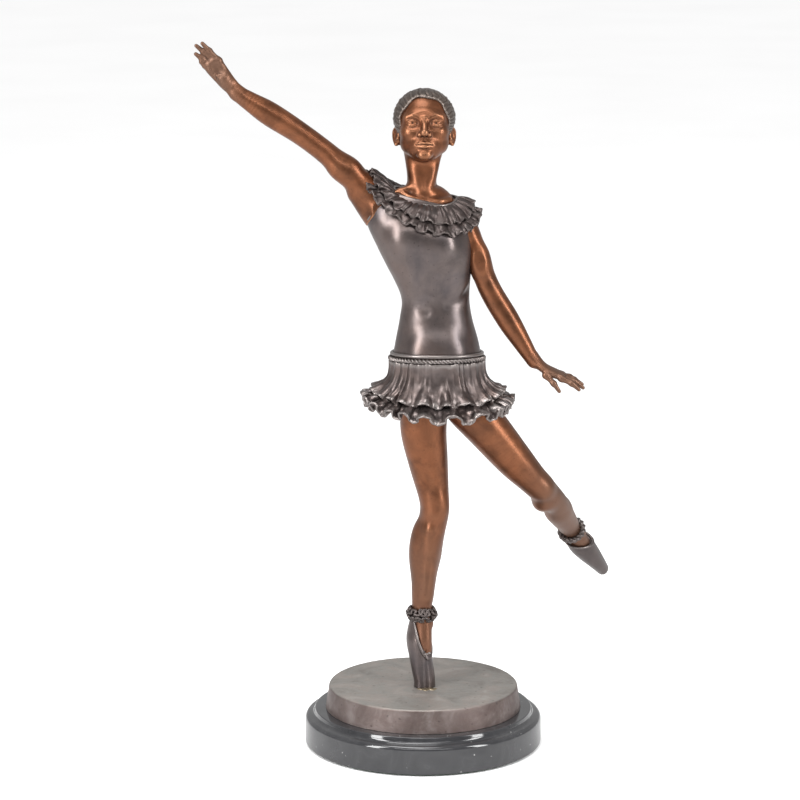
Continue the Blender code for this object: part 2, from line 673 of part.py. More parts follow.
FINGER_RADII = (0.0027, 0.0024, 0.0016)


def arm(name, stations, palm, fingers, seam, tenon_way, host, palm_front):
    """An arm with its hand, cast in one piece with a tenon into the shoulder."""
    piece = limb(name, stations, SKIN)
    hand = [limb(f"guide_palm_{name}", palm, None, front=palm_front, sides=8)]
    for finger, joints in fingers.items():
        line = [(*joint, radius, radius) for joint, radius in zip(joints, FINGER_RADII)]
        hand.append(limb(f"guide_{finger}_{name}", line, None, front=palm_front, sides=6))
    join(piece, *hand)
    cut(piece, bpy.data.objects["guide_body_grown"])
    roman_joint(piece, host, figure(*seam), tenon_way, ARM_TENON_RADIUS * SCALE)
    for tier in (bpy.data.objects["collar_upper_frill"], bpy.data.objects["collar_lower_frill"]):
        cut(tier, limb(f"guide_{piece.name}_{tier.name}", stations, None, grow=GAP))


def build_arms(host):
    arm("raised_arm", RAISED_ARM, RAISED_PALM, RAISED_FINGERS, (-0.041, 0.001, 0.447),
        Vector((-0.9, 0.0, 0.45)), host, Vector((0.0, -1.0, 0.0)))
    arm("lowered_arm", LOWERED_ARM, LOWERED_PALM, LOWERED_FINGERS, (0.037, 0.001, 0.425),
        Vector((1.0, 0.0, -0.25)), host, Vector((0.0, -1.0, 0.0)))


# Head, with the neck and the skin above the neckline

NECK = [
    (0.0010, 0.004, 0.4400, 0.0205, 0.0150),
    (0.0010, 0.004, 0.4520, 0.0235, 0.0175),
    (-0.0010, 0.005, 0.4600, 0.0162, 0.0150),
    (-0.0020, 0.005, 0.4680, 0.0141, 0.0140),
    (-0.0020, 0.004, 0.4820, 0.0136, 0.0140),
    (-0.0010, 0.006, 0.4960, 0.0150, 0.0160),
]
HEAD_CENTRE = (0.0003, 0.002, 0.5125)
HEAD_WIDTH = 0.0520
HEAD_DEPTH = 0.0600
HEAD_HEIGHT = 0.0655
HEAD_TILT = math.radians(-14)      # chin up
EAR_OUT = HEAD_WIDTH / 2 + 0.0008  # ear's middle from the middle of the head
EAR_SIZE = (0.0030, 0.0055, 0.0090)


def head_form(name, look, grow=0.0, sides=18, levels=11):
    """A plain egg of a head: narrow at the chin, full at the back of the skull."""
    turn = Matrix.Rotation(HEAD_TILT, 3, "X")
    middle = figure(*HEAD_CENTRE)
    rings = []
    for level in range(1, levels):
        up = -math.cos(math.pi * level / levels)
        across = math.sqrt(1 - up * up)
        jaw = 1.0 - 0.30 * max(-up, 0.0) ** 1.3
        ring = []
        for i in range(sides):
            angle = 2 * math.pi * i / sides
            x, y = math.cos(angle) * across * jaw, math.sin(angle) * across
            back = 1.0 if y < 0 else 1.0 - 0.55 * max(-up, 0.0)
            ring.append(middle + turn @ Vector((
                x * (HEAD_WIDTH / 2 * SCALE + grow),
                y * back * (HEAD_DEPTH / 2 * SCALE + grow),
                up * (HEAD_HEIGHT / 2 * SCALE + grow))))
        rings.append(ring)
    bm = bmesh.new()
    skin_rings(bm, rings)
    return finish_piece(name, bm, look)


def build_head():
    head = head_form("head", SKIN)
    neck = limb("guide_neck", NECK, None, sides=20)
    x, y, z = HEAD_CENTRE
    nose = limb("guide_nose", [
        (x, y - 0.0265, z + 0.006, 0.0020, 0.0020),
        (x, y - 0.0300, z + 0.000, 0.0026, 0.0026),
        (x, y - 0.0320, z - 0.005, 0.0040, 0.0030),
    ], None, sides=8)
    ears = [
        ellipsoid(f"guide_ear_{side}", figure(x + way * EAR_OUT, y + 0.003, z - 0.0075),
                  [r * SCALE for r in EAR_SIZE], None, tilt=HEAD_TILT, rings=8, sides=12)
        for side, way in (("right", -1), ("left", 1))
    ]
    join(head, neck, nose, *ears)
    seat = bpy.data.objects["guide_body_grown"]
    cut(head, seat)
    plug = limb("guide_plug", [
        (0.0010, 0.004, 0.4380, 0.0160, 0.0110),
        (0.0010, 0.004, 0.4620, 0.0160, 0.0110),
    ], None, sides=20, steps=1, round_ends=(False, False))
    join(head, plug)
    for tier in (bpy.data.objects["collar_upper_frill"], bpy.data.objects["collar_lower_frill"]):
        cut(tier, limb(f"guide_neck_{tier.name}", NECK, None, sides=20, grow=GAP))
    return head


def build_hair():
    """Combed hair: a cap over the skull, open at the face, with a coiled bun behind."""
    middle = figure(*HEAD_CENTRE)
    turn = Matrix.Rotation(HEAD_TILT, 3, "X")
    hair = head_form("hair", HAIR, grow=HAIR_THICKNESS * SCALE)
    skull = head_form("guide_skull", None, grow=GAP)
    face = ellipsoid("guide_face", middle + turn @ Vector((0, -0.034, -0.012)) * SCALE,
                     [r * SCALE for r in (0.0278, 0.032, 0.0335)], None, tilt=HEAD_TILT)
    nape = ellipsoid("guide_nape", middle + turn @ Vector((0, 0.004, -0.040)) * SCALE,
                     [r * SCALE for r in (0.036, 0.044, 0.031)], None, tilt=HEAD_TILT)
    cut(hair, skull, face, nape, limb("guide_neck_hair", NECK, None, sides=20, grow=GAP))
    for side, way in (("right", -1), ("left", 1)):
        cut(hair, ellipsoid(f"guide_ear_room_{side}",
                            figure(HEAD_CENTRE[0] + way * EAR_OUT, HEAD_CENTRE[1] + 0.003,
                                   HEAD_CENTRE[2] - 0.0075),
                            [r * SCALE + GAP for r in EAR_SIZE], None, tilt=HEAD_TILT,
                            rings=8, sides=12))
    bun = ellipsoid("hair_bun", middle + turn @ Vector((0.004, 0.0330, 0.010)) * SCALE,
                    [r * SCALE for r in (0.0165, 0.0110, 0.0145)], HAIR, tilt=HEAD_TILT)
    cut(bun, head_form("guide_under_bun", None, grow=HAIR_THICKNESS * SCALE + GAP))
    return hair, bun


def main():
    for thing in list(bpy.data.objects):
        bpy.data.objects.remove(thing, do_unlink=True)
    plinth = build_base()
    torso = build_torso()
    standing_shoe = build_legs(torso)
    build_toe_stud(plinth, standing_shoe)
    build_cord()
    build_skirt()
    build_collar()
    build_arms(torso)
    build_head()
    build_hair()


main()
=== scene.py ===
import math
import random

import bpy
import numpy as np
from mathutils import Matrix, Vector, noise


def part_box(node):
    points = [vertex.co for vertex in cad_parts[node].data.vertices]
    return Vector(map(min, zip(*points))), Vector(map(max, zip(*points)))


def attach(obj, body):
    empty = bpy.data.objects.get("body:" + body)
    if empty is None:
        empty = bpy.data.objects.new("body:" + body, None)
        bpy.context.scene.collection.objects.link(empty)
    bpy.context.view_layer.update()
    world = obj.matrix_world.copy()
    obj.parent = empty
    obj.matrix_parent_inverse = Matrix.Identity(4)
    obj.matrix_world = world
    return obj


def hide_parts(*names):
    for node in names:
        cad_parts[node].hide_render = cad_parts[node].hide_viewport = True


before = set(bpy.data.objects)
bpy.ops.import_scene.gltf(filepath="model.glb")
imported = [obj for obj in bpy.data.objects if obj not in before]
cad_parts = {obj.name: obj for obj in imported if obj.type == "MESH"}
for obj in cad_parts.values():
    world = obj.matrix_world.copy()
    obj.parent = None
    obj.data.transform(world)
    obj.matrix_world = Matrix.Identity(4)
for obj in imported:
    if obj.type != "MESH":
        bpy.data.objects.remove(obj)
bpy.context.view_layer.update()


# Felt pad. A disc of green baize, cut a little smaller than the marble and glued under it, so
# that the polished stone neither slides on a shelf nor scratches it.

felt_low, felt_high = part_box("felt_pad")
felt_radius = felt_high[0]
felt_thickness = felt_high[2] - felt_low[2]


def new_object(name, points, faces):
    """A mesh object in the scene."""
    mesh = bpy.data.meshes.new(name)
    mesh.from_pydata(points, [], faces)
    made = bpy.data.objects.new(name, mesh)
    bpy.context.collection.objects.link(made)
    return made


def part_mesh(name, points, faces, finish, slot, stands_for, marks=None):
    """A smooth-shaded piece of the statuette, riding on its one body."""
    piece = new_object(name, np.asarray(points, float), faces)
    mesh = piece.data
    mesh.polygons.foreach_set("use_smooth", np.ones(len(mesh.polygons), bool))
    for key, values in (marks or {}).items():
        mesh.attributes.new(key, "FLOAT", "POINT").data.foreach_set("value", values)
    mesh.materials.append(finish)
    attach(piece, "root")
    if stands_for:
        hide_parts(*stands_for)
    return piece


def turned(profile, sides, unevenness=None):
    """Points and faces of a closed (radius, height) profile turned about the base's axis."""
    points = []
    faces = []
    starts = []
    for radius, height in profile:
        starts.append(len(points))
        for i in range(sides if radius > 0 else 1):
            turn = 2 * math.pi * i / sides
            point = Vector((radius * math.cos(turn), radius * math.sin(turn), height))
            points.append(unevenness(point) if unevenness else point)
    for ring in range(len(profile) - 1):
        here, there = starts[ring], starts[ring + 1]
        for i in range(sides):
            j = (i + 1) % sides
            if profile[ring][0] == 0:
                faces.append((here, there + i, there + j))
            elif profile[ring + 1][0] == 0:
                faces.append((here + i, there, here + j))
            else:
                faces.append((here + i, there + i, there + j, here + j))
    return points, faces


def set_sockets(tree, node, sockets):
    """Gives each socket a value or another node's output."""
    for key, value in sockets.items():
        if isinstance(value, bpy.types.NodeSocket):
            tree.links.new(value, node.inputs[key])
        else:
            node.inputs[key].default_value = value


def add_node(tree, kind, sockets=None, **settings):
    """A shader node with its settings made and its sockets filled."""
    node = tree.nodes.new("ShaderNode" + kind)
    for key, value in settings.items():
        setattr(node, key, value)
    set_sockets(tree, node, sockets or {})
    return node


def new_finish(name):
    """A material, its node tree and the shader in it."""
    finish = bpy.data.materials.new(name)
    finish.use_nodes = True
    return finish, finish.node_tree, finish.node_tree.nodes["Principled BSDF"]


def place_on_piece(tree):
    """Where a point is on the statuette, in metres."""
    return add_node(tree, "TexCoord").outputs["Object"]


def clouds(tree, where, scale, detail, **more):
    """A mask that wanders over the piece, in finer patches as the scale goes up."""
    return add_node(tree, "TexNoise", {"Vector": where, "Scale": scale, "Detail": detail,
                                       **more}).outputs["Fac"]


def maths(tree, operation, *values, **settings):
    """A mask worked out from masks and numbers."""
    return add_node(tree, "Math", dict(enumerate(values)), operation=operation,
                    **settings).outputs[0]


def colour_steps(tree, mask, steps):
    """A colour for each height of a mask, from (mask, (red, green, blue)) steps."""
    ramp = add_node(tree, "ValToRGB", {"Fac": mask})
    while len(ramp.color_ramp.elements) < len(steps):
        ramp.color_ramp.elements.new(0.5)
    for element, (position, colour) in zip(ramp.color_ramp.elements, steps):
        element.position = position
        element.color = (*colour, 1.0)
    return ramp.outputs["Color"]


def spread(tree, mask, low, high, start=0.0, stop=1.0):
    """The mask stretched so that its run from start to stop goes from low to high."""
    return add_node(tree, "MapRange", {"Value": mask, "From Min": start, "From Max": stop,
                                       "To Min": low, "To Max": high}).outputs[0]


def bumped(tree, height, strength, distance, under=None):
    """The way the surface faces once a mask's height is worked into it."""
    sockets = {"Height": height, "Strength": strength, "Distance": distance}
    if under is not None:
        sockets["Normal"] = under
    return add_node(tree, "Bump", sockets).outputs["Normal"]


def felt_finish():
    """Short green fibres pressed flat."""
    finish, tree, shader = new_finish("baize")
    where = place_on_piece(tree)
    fibres = clouds(tree, where, 2600.0, 6.0)
    worn = clouds(tree, where, 70.0, 3.0)
    set_sockets(tree, shader, {
        "Base Color": colour_steps(tree, maths(tree, "MULTIPLY", fibres, worn), [
            (0.10, (0.006, 0.022, 0.010)),
            (0.45, (0.022, 0.075, 0.034))]),
        "Roughness": spread(tree, fibres, 0.88, 1.0),
        "Normal": bumped(tree, fibres, 0.8, 0.0004)})
    return finish


edge = felt_thickness * 0.3
felt_points, felt_faces = turned([
    (0.0, felt_high[2]),
    *[(felt_radius * step / 12, felt_high[2]) for step in range(1, 12)],
    (felt_radius - edge, felt_high[2]),
    (felt_radius, felt_high[2] - edge),
    (felt_radius, felt_low[2] + edge),
    (felt_radius - edge, felt_low[2]),
    *[(felt_radius * step / 12, felt_low[2]) for step in range(11, 0, -1)],
    (0.0, felt_low[2]),
], 192)
felt = part_mesh("baize_disc", felt_points, felt_faces, felt_finish(), "felt", ["felt_pad"])


# Marble base. A disc of black marble, turned with a straight side, a rounded edge and a hollow
# moulding up to the flat on which the bronze sits, then polished. Three bores take the bolts.

marble_low, marble_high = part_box("marble_base")
marble_radius = marble_high[0]
shoulder = 0.0090                     # how far the moulding steps in
flat_edge, cove, rim_edge, foot_edge = 0.0010, 0.0034, 0.0044, 0.0012    # radii down the edge
rim_height = marble_low[2] + 0.0250   # top of the straight side
counterbore_radius = 0.00825
counterbore_depth = 0.0085
bolt_clearance = 0.0005


def arc(centre, radius, start, stop, steps):
    """Points of a rounded edge, from one angle to another in degrees."""
    return [(centre[0] + radius * math.cos(math.radians(start + (stop - start) * i / steps)),
             centre[1] + radius * math.sin(math.radians(start + (stop - start) * i / steps)))
            for i in range(steps + 1)]


def cylinder_cutter(x, y, radius, low, high):
    """A drill's path through a turned blank."""
    points, faces = turned([(0.0, high), (radius, high), (radius, low), (0.0, low)], 48)
    return new_object("cutter", [point + Vector((x, y, 0)) for point in points], faces)


def bored(points, faces, cutters):
    """The points and faces of a turned blank after its holes are drilled."""
    blank = new_object("blank", points, faces)
    for cutter in cutters:
        drill = blank.modifiers.new("drill", "BOOLEAN")
        drill.operation = "DIFFERENCE"
        drill.solver = "EXACT"
        drill.object = cutter
    bpy.context.view_layer.update()
    drilled = blank.evaluated_get(bpy.context.evaluated_depsgraph_get()).to_mesh()
    points = [vertex.co.copy() for vertex in drilled.vertices]
    faces = [tuple(polygon.vertices) for polygon in drilled.polygons]
    for leftover in [blank, *cutters]:
        bpy.data.meshes.remove(leftover.data)
    return points, faces


def sharpen(piece, degrees):
    """Keeps turned edges crisp where faces meet at more than this angle."""
    piece.data.set_sharp_from_angle(angle=math.radians(degrees))


def mixed(tree, mask, first, second, mode="MIX"):
    """One colour over another through a mask."""
    return add_node(tree, "Mix", {0: mask, 6: first, 7: second}, data_type="RGBA",
                    blend_type=mode).outputs[2]


def marble_finish():
    """Polished black marble: fine white flecks, a few thin veins, and a lived-in polish."""
    finish, tree, shader = new_finish("black marble")
    where = place_on_piece(tree)
    cells = add_node(tree, "TexVoronoi", {"Vector": where, "Scale": 330.0,
                                          "Randomness": 1.0}).outputs
    fleck_size = spread(tree, clouds(tree, where, 210.0, 3.0), -0.20, 0.36)
    flecks = maths(tree, "LESS_THAN", cells["Distance"], fleck_size)
    drawn = add_node(tree, "SeparateColor", {"Color": cells["Color"]}).outputs["Red"]
    few_flecks = maths(tree, "MULTIPLY", flecks, maths(tree, "GREATER_THAN", drawn, 0.86))
    bent = clouds(tree, where, 24.0, 5.0, Distortion=1.2)
    vein = maths(tree, "ABSOLUTE", maths(tree, "SUBTRACT", bent, 0.5))
    stone = colour_steps(tree, vein, [
        (0.0, (0.034, 0.034, 0.036)),
        (0.010, (0.029, 0.029, 0.031)),
        (0.20, (0.020, 0.020, 0.022))])
    smears = clouds(tree, where, 45.0, 6.0, Roughness=0.7)
    set_sockets(tree, shader, {
        "Base Color": mixed(tree, few_flecks, stone, (0.42, 0.42, 0.41, 1.0)),
        "Roughness": spread(tree, smears, 0.02, 0.20),
        "Normal": bumped(tree, smears, 0.10, 0.0006),
        "Coat Weight": 0.35,
        "Coat Roughness": 0.04})
    return finish


flat_radius = marble_radius - shoulder
marble_top = marble_high[2]
marble_profile = [
    (0.0, marble_top),
    *[(flat_radius * step / 10, marble_top) for step in range(1, 10)],
    *arc((flat_radius - flat_edge, marble_top - flat_edge), flat_edge, 90, 0, 6),
    *arc((flat_radius + 0.0040, marble_top - 0.0022), cove, 184, 252, 8),
    *arc((marble_radius - rim_edge, rim_height - 0.0034), rim_edge, 78, 0, 10),
    *[(marble_radius, marble_low[2] + foot_edge + (rim_height - marble_low[2] - 0.0050) * k / 8)
      for k in range(7, 0, -1)],
    *arc((marble_radius - foot_edge, marble_low[2] + foot_edge), foot_edge, 0, -90, 5),
    (0.0, marble_low[2]),
]
bolt_boxes = [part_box(f"plinth_bolt_{number}") for number in (1, 2, 3)]
bolt_places = [((low[0] + high[0]) / 2, (low[1] + high[1]) / 2) for low, high in bolt_boxes]
shank_radius = 0.003
marble_points, marble_faces = turned(marble_profile, 288)
marble_cutters = []
for x, y in bolt_places:
    marble_cutters.append(cylinder_cutter(x, y, shank_radius + bolt_clearance,
                                          marble_low[2] - 0.001, marble_top + 0.001))
    marble_cutters.append(cylinder_cutter(x, y, counterbore_radius, marble_low[2] - 0.001,
                                          marble_low[2] + counterbore_depth))
marble = part_mesh("black_marble_disc", *bored(marble_points, marble_faces, marble_cutters),
                   marble_finish(), "marble", ["marble_base"])
sharpen(marble, 40)


# Bolts, washers, toe stud and nut. Zinc-plated steel from the hardware drawer: the bolts pull
# the plinth down on the marble, and the stud in the pointed shoe holds the dancer upright.

def steel_finish():
    """Bright zinc plating with turning marks and a few dull patches."""
    finish, tree, shader = new_finish("zinc plated steel")
    where = place_on_piece(tree)
    marks = add_node(tree, "TexWave", {"Vector": where, "Scale": 900.0, "Distortion": 1.5,
                                       "Detail": 2.0}, bands_direction="Z").outputs["Fac"]
    dull = clouds(tree, where, 300.0, 5.0)
    set_sockets(tree, shader, {
        "Base Color": colour_steps(tree, dull, [
            (0.30, (0.33, 0.33, 0.32)),
            (0.65, (0.60, 0.60, 0.58))]),
        "Roughness": spread(tree, dull, 0.22, 0.50),
        "Normal": bumped(tree, marks, 0.25, 0.0001),
        "Metallic": 1.0})
    return finish


steel = steel_finish()
hardware = ["toe_stud", "toe_stud_washer", "toe_stud_nut"]
hardware += [f"plinth_{kind}_{number}" for kind in ("bolt", "washer") for number in (1, 2, 3)]
for name in hardware:
    for material_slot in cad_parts[name].material_slots:
        material_slot.material = steel


# Plinth. A hollow disc of sand-cast bronze with the skin of the mould left on it and a brown
# patina, its top painted paler as if lit from above. Three bosses inside are tapped for the
# bolts.

plinth_low, plinth_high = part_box("plinth")
ground = plinth_high[2]               # what the dancer stands on
plinth_radius = plinth_high[0]
plinth_taper = 0.0030
plinth_wall = 0.0045
plinth_edge = 0.0022
boss_radius = 0.008
tapped_depth = 0.012
toe_x, toe_y = 0.0012, -0.0100
stud_hole_radius = 0.0033


def figure(x, y, z):
    """A point of the dancer, z above the plinth's top."""
    return Vector((x, y, ground + z))


def noise_group(name, outputs):
    """An empty group for an effect that several finishes share."""
    group = bpy.data.node_groups.new(name, "ShaderNodeTree")
    for output in outputs:
        group.interface.new_socket(output, in_out="OUTPUT", socket_type="NodeSocketFloat")
    return group


def cast_skin_group():
    """What the mould leaves on bronze: cloudy patina patches, fine grain, and small pits."""
    group = noise_group("cast skin", ["Patches", "Grain", "Pits", "Height"])
    for size, usual in (("Patch Scale", 60.0), ("Grain Scale", 900.0), ("Pit Scale", 260.0)):
        socket = group.interface.new_socket(size, in_out="INPUT", socket_type="NodeSocketFloat")
        socket.default_value = usual
    given = group.nodes.new("NodeGroupInput")
    made = group.nodes.new("NodeGroupOutput")
    where = place_on_piece(group)
    patches = clouds(group, where, given.outputs["Patch Scale"], 5.0, Roughness=0.62,
                     Distortion=0.6)
    grain = clouds(group, where, given.outputs["Grain Scale"], 4.0, Roughness=0.6)
    cells = add_node(group, "TexVoronoi", {"Vector": where, "Randomness": 1.0,
                                           "Scale": given.outputs["Pit Scale"]}).outputs
    drawn = add_node(group, "SeparateColor", {"Color": cells["Color"]}).outputs["Green"]
    size = maths(group, "POWER", drawn, 40.0)                # few cells hold a pit of any size
    pits = spread(group, maths(group, "SUBTRACT", size, cells["Distance"]), 0.0, 0.40,
                  0.05, 0.45)
    height = maths(group, "SUBTRACT", maths(group, "MULTIPLY", grain, patches), pits)
    set_sockets(group, made, {"Patches": patches, "Grain": grain, "Pits": pits,
                              "Height": height})
    return group


cast_skin = cast_skin_group()


def use_group(tree, group, **values):
    """A shared effect placed in a finish with its own values."""
    node = tree.nodes.new("ShaderNodeGroup")
    node.node_tree = group
    set_sockets(tree, node, {key.replace("_", " "): value for key, value in values.items()})
    return node.outputs


def plinth_finish():
    """Brown patina, its top painted paler and greyer as if lit from above, darker in the pits."""
    finish, tree, shader = new_finish("sand cast bronze")
    skin = use_group(tree, cast_skin, Patch_Scale=32.0, Grain_Scale=700.0, Pit_Scale=520.0)
    fine = use_group(tree, cast_skin, Patch_Scale=150.0, Grain_Scale=1900.0, Pit_Scale=900.0)
    side = colour_steps(tree, skin["Patches"], [
        (0.30, (0.085, 0.064, 0.060)),
        (0.50, (0.132, 0.106, 0.100)),
        (0.70, (0.225, 0.198, 0.192))])
    top = colour_steps(tree, skin["Patches"], [
        (0.28, (0.215, 0.200, 0.186)),
        (0.46, (0.290, 0.285, 0.268)),
        (0.56, (0.315, 0.292, 0.272)),
        (0.74, (0.400, 0.392, 0.372))])
    # Painted light: faces turned up take the paler top colour and faces turned sideways take the
    # darker side colour.
    facing = add_node(tree, "NewGeometry").outputs["Normal"]
    upright = add_node(tree, "SeparateXYZ", {0: facing}).outputs["Z"]
    body = mixed(tree, spread(tree, upright, 0.0, 1.0, 0.45, 0.95), side, top)
    speckled = mixed(tree, fine["Patches"], body, (0.50, 0.46, 0.44, 1.0), "OVERLAY")
    coarse = bumped(tree, skin["Height"], 0.55, 0.0006)
    set_sockets(tree, shader, {
        "Base Color": mixed(tree, skin["Pits"], speckled, (0.022, 0.016, 0.014, 1.0)),
        "Roughness": spread(tree, fine["Patches"], 0.36, 0.60),
        "Normal": bumped(tree, fine["Height"], 0.35, 0.0003, coarse),
        "Metallic": 0.72})
    return finish


def hand_rammed(point):
    """The mould's sand was packed by hand, so no face is quite true."""
    wander = noise.noise(point * 38.0) * 0.00022 + noise.noise(point * 140.0) * 0.00010
    out = Vector((point.x, point.y, 0.0))
    if out.length > 0.001:
        out.normalize()
    high = (point.z - plinth_low[2]) / (plinth_high[2] - plinth_low[2])
    lift = -abs(wander) if high > 0.97 else 0.0
    return point + out * wander * min(max(high * 3.0, 0.0), 1.0) + Vector((0, 0, lift))


top_radius = plinth_radius - plinth_taper
ceiling = ground - plinth_wall
side_steps = 14
plinth_profile = [
    (0.0, ground),
    *[(top_radius * step / 40, ground) for step in range(1, 39)],
    *arc((top_radius - plinth_edge, ground - plinth_edge), plinth_edge, 90, 8, 6),
    *[(top_radius + plinth_taper * k / side_steps,
       ground - plinth_edge - (ground - plinth_edge - plinth_low[2]) * k / side_steps)
      for k in range(1, side_steps + 1)],
    (plinth_radius - plinth_wall, plinth_low[2]),
    (top_radius - plinth_wall, ceiling),
    (0.0, ceiling),
]
plinth_points, plinth_faces = turned(plinth_profile, 288, hand_rammed)
plinth_points, plinth_faces = bored(plinth_points, plinth_faces, [
    cylinder_cutter(toe_x, toe_y, stud_hole_radius, ceiling - 0.01, ground + 0.01)])
for x, y in bolt_places:
    boss_points, boss_faces = turned([
        (0.0, ceiling + 0.001),
        (boss_radius, ceiling + 0.001),
        (boss_radius, plinth_low[2]),
        (shank_radius + bolt_clearance, plinth_low[2]),
        (shank_radius + bolt_clearance, plinth_low[2] + tapped_depth),
        (0.0, plinth_low[2] + tapped_depth),
    ], 48)
    first = len(plinth_points)
    plinth_points += [point + Vector((x, y, 0)) for point in boss_points]
    plinth_faces += [tuple(first + corner for corner in face) for face in boss_faces]
plinth = part_mesh("bronze_plinth", plinth_points, plinth_faces, plinth_finish(),
                   "dark_bronze", ["plinth"])
sharpen(plinth, 50)


# Legs. Each was modelled in wax, cast hollow in bronze with its foot, and pinned and welded to
# the hips. The skin has a warm red-brown patina, browner and duller towards the feet.

class Wax:
    """A block of modelling wax, held as the distance to its surface at each point of a grid."""

    far = 1.0

    def __init__(self, low, high, step):
        self.low = np.array(low, float)
        self.step = step
        self.shape = np.ceil((np.array(high, float) - self.low) / step).astype(int) + 1
        self.wax = np.full(self.shape, self.far, np.float32)

    def window(self, low, high):
        """The part of the grid between two corners, with its coordinates."""
        first = np.clip(((np.array(low) - self.low) / self.step).astype(int), 0, self.shape)
        last = np.clip(((np.array(high) - self.low) / self.step).astype(int) + 2, 0, self.shape)
        lines = [(self.low[k] + self.step * np.arange(first[k], last[k])).astype(np.float32)
                 for k in range(3)]
        cut = tuple(slice(a, b) for a, b in zip(first, last))
        return cut, lines[0][:, None, None], lines[1][None, :, None], lines[2][None, None, :]

    def everywhere(self):
        """The block's two corners."""
        return self.low, self.low + self.step * self.shape

    def blank(self, low, high):
        """An empty block over one window of this one's grid."""
        cut = self.window(low, high)[0]
        block = Wax(self.low, self.low, self.step)
        block.low = self.low + self.step * np.array([side.start for side in cut])
        block.shape = np.array(self.wax[cut].shape)
        block.wax = np.full(block.shape, self.far, np.float32)
        return block

    def work(self, low, high, tool, blend, carve=False):
        """Adds the tool's shape, or carves it away, with a soft join as wide as blend."""
        cut, x, y, z = self.window(low, high)
        if min(side.stop - side.start for side in cut) <= 0:
            return
        shape = tool(x, y, z)
        wax = -self.wax[cut] if carve else self.wax[cut]
        blend = max(blend, 1e-6)
        share = np.clip(0.5 + 0.5 * (shape - wax) / blend, 0.0, 1.0)
        joined = shape * (1 - share) + wax * share - blend * share * (1 - share)
        self.wax[cut] = -joined if carve else joined

    def ball(self, centre, radii, blend=0.002, turn=None, carve=False):
        """An egg-shaped pellet, pressed on or scooped out."""
        centre = np.array(centre, float)
        radii = np.array(radii, float) * np.ones(3)
        rows = np.array(turn.transposed() if turn else Matrix.Identity(3))
        reach = radii.max() + blend

        def tool(x, y, z):
            offset = (x - centre[0], y - centre[1], z - centre[2])
            return egg([sum(row[k] * offset[k] for k in range(3)) for row in rows], radii)

        self.work(centre - reach, centre + reach, tool, blend, carve)

    def roll(self, stations, front, blend=0.002, steps=6, carve=False):
        """A long form through (x, y, z, half width, half depth), its depth along front."""
        curve = np.array(smooth_line(stations, steps))
        reach = curve[:, 3:].max() + blend + 2 * self.step
        low, high = curve[:, :3].min(0) - reach, curve[:, :3].max(0) + reach
        form = self.blank(low, high)
        for start, stop in zip(curve, curve[1:]):
            if np.linalg.norm(stop[:3] - start[:3]) < 1e-7:
                continue
            around = max(start[3:].max(), stop[3:].max()) + blend + 2 * self.step
            form.work(np.minimum(start[:3], stop[:3]) - around,
                      np.maximum(start[:3], stop[:3]) + around,
                      rolled_length(start, stop, front), 0.0)
        self.work(low, high, lambda x, y, z: form.wax, blend, carve)

    def surface(self):
        """Points and four-sided faces where the wax ends."""
        wax = self.wax
        inside = wax < 0
        count = np.zeros(self.shape - 1, np.uint8)
        corners = [(i, j, k) for i in (0, 1) for j in (0, 1) for k in (0, 1)]
        for i, j, k in corners:
            count += inside[i:i + count.shape[0], j:j + count.shape[1], k:k + count.shape[2]]
        skin = (count > 0) & (count < 8)
        cells = np.argwhere(skin)
        number = np.full(skin.shape, -1, np.int32)
        number[skin] = np.arange(len(cells))
        values = [wax[cells[:, 0] + i, cells[:, 1] + j, cells[:, 2] + k] for i, j, k in corners]
        total = np.zeros((len(cells), 3))
        hits = np.zeros(len(cells))
        for a, first in enumerate(corners):
            for b, second in enumerate(corners):
                if b <= a or sum(abs(p - q) for p, q in zip(first, second)) != 1:
                    continue
                crossed = (values[a] < 0) != (values[b] < 0)
                gap = np.where(crossed, values[a] - values[b], 1.0)
                share = np.where(crossed, values[a] / gap, 0.0)
                step = np.array(second) - np.array(first)
                total += (np.array(first) + share[:, None] * step) * crossed[:, None]
                hits += crossed
        points = self.low + (cells + total / hits[:, None]) * self.step
        faces = []
        for axis in range(3):
            u, v = (axis + 1) % 3, (axis + 2) % 3
            start = [slice(1, -1)] * 3
            stop = [slice(1, -1)] * 3
            start[axis], stop[axis] = slice(0, -1), slice(1, None)
            begins, ends = inside[tuple(start)], inside[tuple(stop)]
            where = np.argwhere(begins != ends)
            leaving = begins[tuple(where.T)]
            where[:, u] += 1
            where[:, v] += 1
            ring = []
            for step_u, step_v in ((-1, -1), (0, -1), (0, 0), (-1, 0)):
                cell = where.copy()
                cell[:, u] += step_u
                cell[:, v] += step_v
                ring.append(number[tuple(cell.T)])
            quads = np.stack(ring, 1)
            quads[~leaving] = quads[~leaving][:, ::-1]
            faces.append(quads)
        return points, np.concatenate(faces)

    def depth_at(self, points):
        """The distance to the surface at loose points between the grid's."""
        grid = (points - self.low) / self.step
        base = np.clip(grid.astype(int), 0, self.shape - 2)
        part = grid - base
        value = 0.0
        for i in (0, 1):
            for j in (0, 1):
                for k in (0, 1):
                    weight = (np.abs(1 - i - part[:, 0]) * np.abs(1 - j - part[:, 1])
                              * np.abs(1 - k - part[:, 2]))
                    value = value + weight * self.wax[base[:, 0] + i, base[:, 1] + j,
                                                      base[:, 2] + k]
        return value


def egg_share(local, radii):
    """How far out a point lies in an egg shape: 0 in its middle, 1 on its surface."""
    return np.sqrt(sum((local[k] / radii[k]) ** 2 for k in range(3)))


def egg(local, radii):
    """The distance to an egg-shaped surface."""
    near = egg_share(local, radii)
    slope = np.sqrt(sum((local[k] / radii[k] ** 2) ** 2 for k in range(3)))
    return near * (near - 1) / np.maximum(slope, 1e-3)


